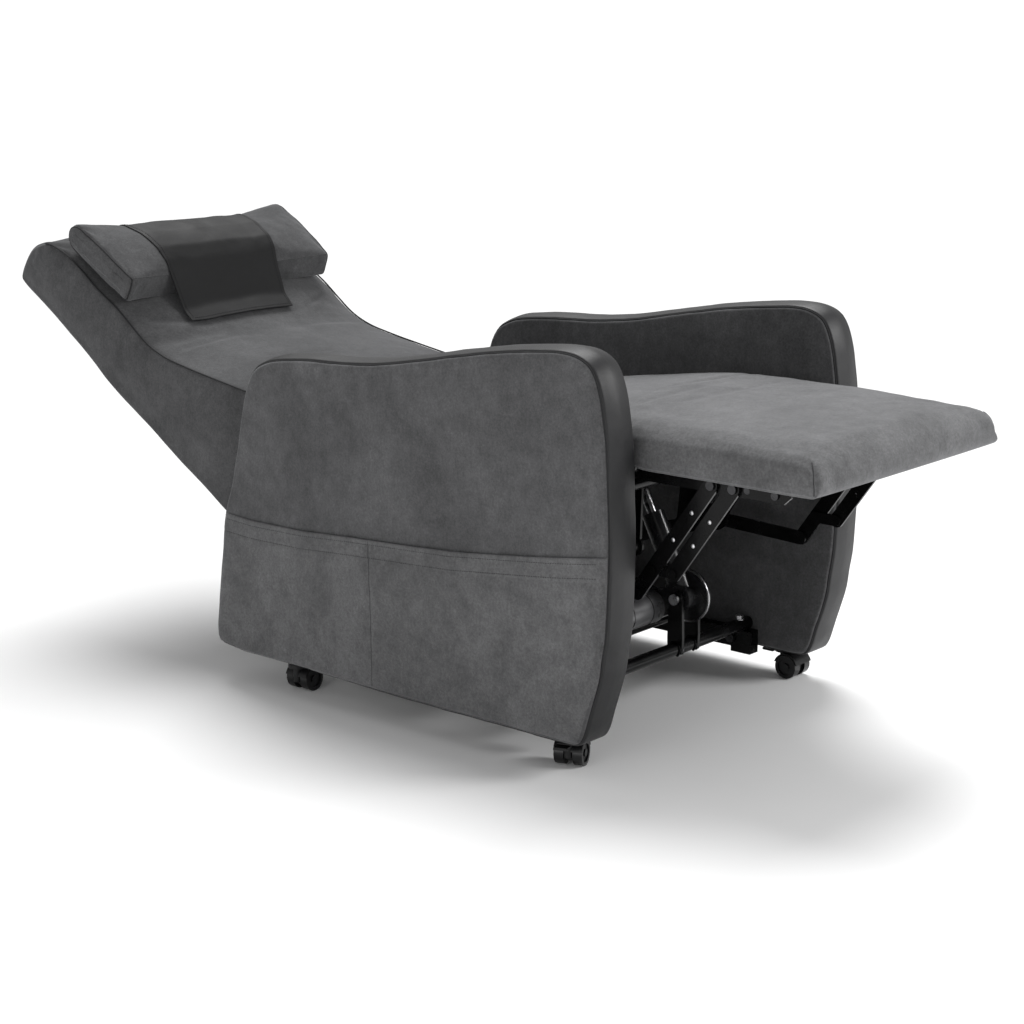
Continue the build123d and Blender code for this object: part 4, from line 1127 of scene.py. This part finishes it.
def hexhead(name, at, axis, r, h, mat, body):
    """A hexagon bolt head with a flange and a chamfered top; at and axis in the row frame, mm."""
    ax = Vector(axis).normalized()
    q = ax.to_track_quat("Z", "Y")
    V, F = [], []
    rings = [(0, r * 1.25, 36), (0.9, r * 1.25, 36), (0.9, r * 1.02, 6), (h * 0.86, r * 1.02, 6), (h, r * 0.86, 6)]
    idx = []
    for z, rr, n6 in rings:
        ring = []
        for k in range(36):
            a = 2 * math.pi * k / 36
            rad = rr if n6 == 36 else rr * math.cos(math.pi / 6) / math.cos((a % (math.pi / 3)) - math.pi / 6)
            p = q @ Vector((rad * math.cos(a), rad * math.sin(a), z))
            ring.append(len(V))
            V.append(((at[0] + p.x) * MM, (at[1] + YS + p.y) * MM, (at[2] + p.z) * MM))
        idx.append(ring)
    for a, b in zip(idx, idx[1:]):
        for k in range(36):
            l = (k + 1) % 36
            F.append((a[k], a[l], b[l], b[k]))
    F.append(tuple(idx[0]))
    F.append(tuple(idx[-1]))
    ob = fix_normals(make_obj(name, V, F, [mat]))
    md = ob.modifiers.new("split", "EDGE_SPLIT")
    md.split_angle = math.radians(30)
    apply_mods(ob)
    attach(ob, body)
    return ob


B1, B2, BARV = (-657.0, 448.0), (-695.0, 448.0), (128.0, -180.0)
rivet = [(0.0, 3.4), (0.35, 3.4), (0.8, 2.9), (1.15, 2.0), (1.3, 1.0), (1.3, 0.3)]
for sgn, side in ((-1, "right"), (1, "left")):
    for nm, b, ts, body in (("rear", B1, (0.25, 0.5), "leg_bar_rear"), ("front", B2, (0.30, 0.52), "leg_bar_front")):
        for k, t in enumerate(ts):
            lathe_x(f"bar_rivet_{nm}_{side}_{k}", rivet, (sgn * 223.0, b[0] + BARV[0] * t, b[1] + BARV[1] * t), M["zinc"], body, 24, sgn)
# lift motor: end cap and bands
MOT = (-347.0, 153.0)
for k, (x0, x1, r) in enumerate(((-61.5, -58.0, 28.0), (-47.0, -45.2, 27.7), (-20.0, -18.4, 27.7), (30.0, 31.6, 27.7))):
    lathe_x(f"lift_motor_band_{k}", [(x0, 26.0), (x0 + 0.3, r), (x1 - 0.3, r), (x1, 26.0)], (0, *MOT), M["casting"] if k else M["zinc"], "lift_actuator", 56)
lathe_x("lift_motor_cap", [(-71.8, 20.6), (-73.2, 20.2), (-73.6, 18.6), (-73.0, 17.4), (-72.6, 12.0), (-73.6, 11.4), (-74.2, 9.6), (-74.2, 5.2), (-73.0, 4.8), (-72.8, 1.0)],
        (0, *MOT), M["housing"], "lift_actuator", 48)
# cover of the worm gear beside the lift actuator's clevis
lathe_x("lift_gear_cover", [(5.0, 18.0), (5.4, 41.0), (6.2, 43.0), (8.0, 43.6), (12.0, 43.6), (13.4, 43.0), (14.2, 41.2), (14.2, 34.0), (13.2, 33.0), (13.0, 18.0)],
        (78.0, -400.0, 175.0), M["casting"], "lift_actuator", 80)
# a bright zinc ring round the cover's edge: painted highlight along the rim
lathe_x("lift_gear_cover_highlight_rim", [(5.6, 42.2), (5.6, 44.2), (7.2, 44.6), (8.4, 44.2), (8.4, 42.2)], (78.0, -400.0, 175.0), M["zinc"], "lift_actuator", 80)
# bolts and weld beads of the base
hexhead("tube_end_bolt_left", (238.0, -400.0, 101.4), (0, 0, 1), 7.0, 8.0, M["zinc"], "base")
hexhead("tube_end_bolt_right", (-238.0, -400.0, 101.4), (0, 0, 1), 7.0, 8.0, M["zinc"], "base")
for k, x in enumerate((53.0, 59.0, 97.0, 103.0)):
    pts = []
    for a in np.linspace(-60, 240, 46):
        w = 0.35 * math.sin(a * 0.9)
        rr = 11.0 + 1.1 + w * 0.3
        pts.append(((x + (-1.1 if k % 2 == 0 else 1.1)) * MM, (-400 + YS + rr * math.cos(math.radians(a))) * MM, (91 + rr * math.sin(math.radians(a))) * MM))
    t = tube(f"clevis_weld_{k}", pts, 0.0016, M["zinc"] if k == 1 else M["black_steel"], sides=8)
    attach(t, "base")

# ------------------------------------------------------------------ stage, light, camera
WORLD = 0.42
SUN = ((0.40, 0.38, 1.0), 2.9, 34.0)
LIGHTS = [
    ("key", (1.3, -2.5, 1.6), (0.0, -0.8, 0.45), 1.0, 42),
    ("fill", (-3.4, -0.5, 0.8), (0.0, -0.2, 0.30), 1.8, 23),
]
me = bpy.data.meshes.new("floor")
me.from_pydata([(-150, -150, 0), (150, -150, 0), (150, 150, 0), (-150, 150, 0)], [], [(0, 1, 2, 3)])
floor = bpy.data.objects.new("floor", me)
bpy.context.scene.collection.objects.link(floor)
fm, nt, bs = new_mat("floor_pale")
c = coords(nt)
nz = tex(nt, "ShaderNodeTexNoise", 3.0, 3.0, 0.5, c)
nt.links.new(ramp(nt, nz.outputs[0], [(0.3, (0.86, 0.86, 0.86)), (0.7, (0.88, 0.88, 0.88))]), bs.inputs["Base Color"])
bs.inputs["Roughness"].default_value = 0.9
me.materials.append(fm)

world = bpy.data.worlds.new("studio")
bpy.context.scene.world = world
world.use_nodes = True
wt = world.node_tree
bg = wt.nodes["Background"]
bg.inputs[0].default_value = (1.0, 1.0, 1.0, 1)
bg.inputs[1].default_value = WORLD
# the far backdrop is as pale as the floor; the light it gives stays soft
bg2 = wt.nodes.new("ShaderNodeBackground")
bg2.inputs[0].default_value = (1.0, 1.0, 1.0, 1.0)
bg2.inputs[1].default_value = 1.0
lp = wt.nodes.new("ShaderNodeLightPath")
wmix = wt.nodes.new("ShaderNodeMixShader")
wt.links.new(lp.outputs["Is Camera Ray"], wmix.inputs[0])
wt.links.new(bg.outputs[0], wmix.inputs[1])
wt.links.new(bg2.outputs[0], wmix.inputs[2])
wout = next(n for n in wt.nodes if n.type == "OUTPUT_WORLD")
wt.links.new(wmix.outputs[0], wout.inputs[0])


def area(name, loc, target, size, power, sy=None):
    ld = bpy.data.lights.new(name, "AREA")
    ld.energy = power
    ld.shape = "RECTANGLE"
    ld.size = size
    ld.size_y = sy or size
    ob = bpy.data.objects.new(name, ld)
    bpy.context.scene.collection.objects.link(ob)
    ob.location = loc
    d = Vector(target) - Vector(loc)
    ob.rotation_euler = d.to_track_quat("-Z", "Y").to_euler()
    return ob


for nm, loc, tgt, size, power in LIGHTS:
    area(nm, loc, tgt, size, power)
sl = bpy.data.lights.new("sky", "SUN")
sl.energy = SUN[1]
sl.angle = math.radians(SUN[2])
so = bpy.data.objects.new("sky", sl)
bpy.context.scene.collection.objects.link(so)
so.rotation_euler = Vector(SUN[0]).to_track_quat("Z", "Y").to_euler()

cam_d = bpy.data.cameras.new("cam")
cam_d.sensor_width = 36.0
cam_d.lens = 2244.0 / 1024.0 * 36.0
cam_d.clip_end = 2000
cam = bpy.data.objects.new("cam", cam_d)
bpy.context.scene.collection.objects.link(cam)
az, pitch, rollv = math.radians(-49.84), math.radians(13.36), math.radians(0.12)
fw = Vector((-math.sin(az) * math.cos(pitch), math.cos(az) * math.cos(pitch), -math.sin(pitch)))
right = Vector((math.cos(az), math.sin(az), 0))
up = right.cross(fw)
r2 = right * math.cos(rollv) + up * math.sin(rollv)
u2 = up * math.cos(rollv) - right * math.sin(rollv)
mw = Matrix((r2, u2, -fw)).transposed().to_4x4()
mw.translation = Vector((-2.787, -2.4505, 1.149))
cam.matrix_world = mw
bpy.context.scene.camera = cam
bpy.context.scene.view_settings.view_transform = "Standard"
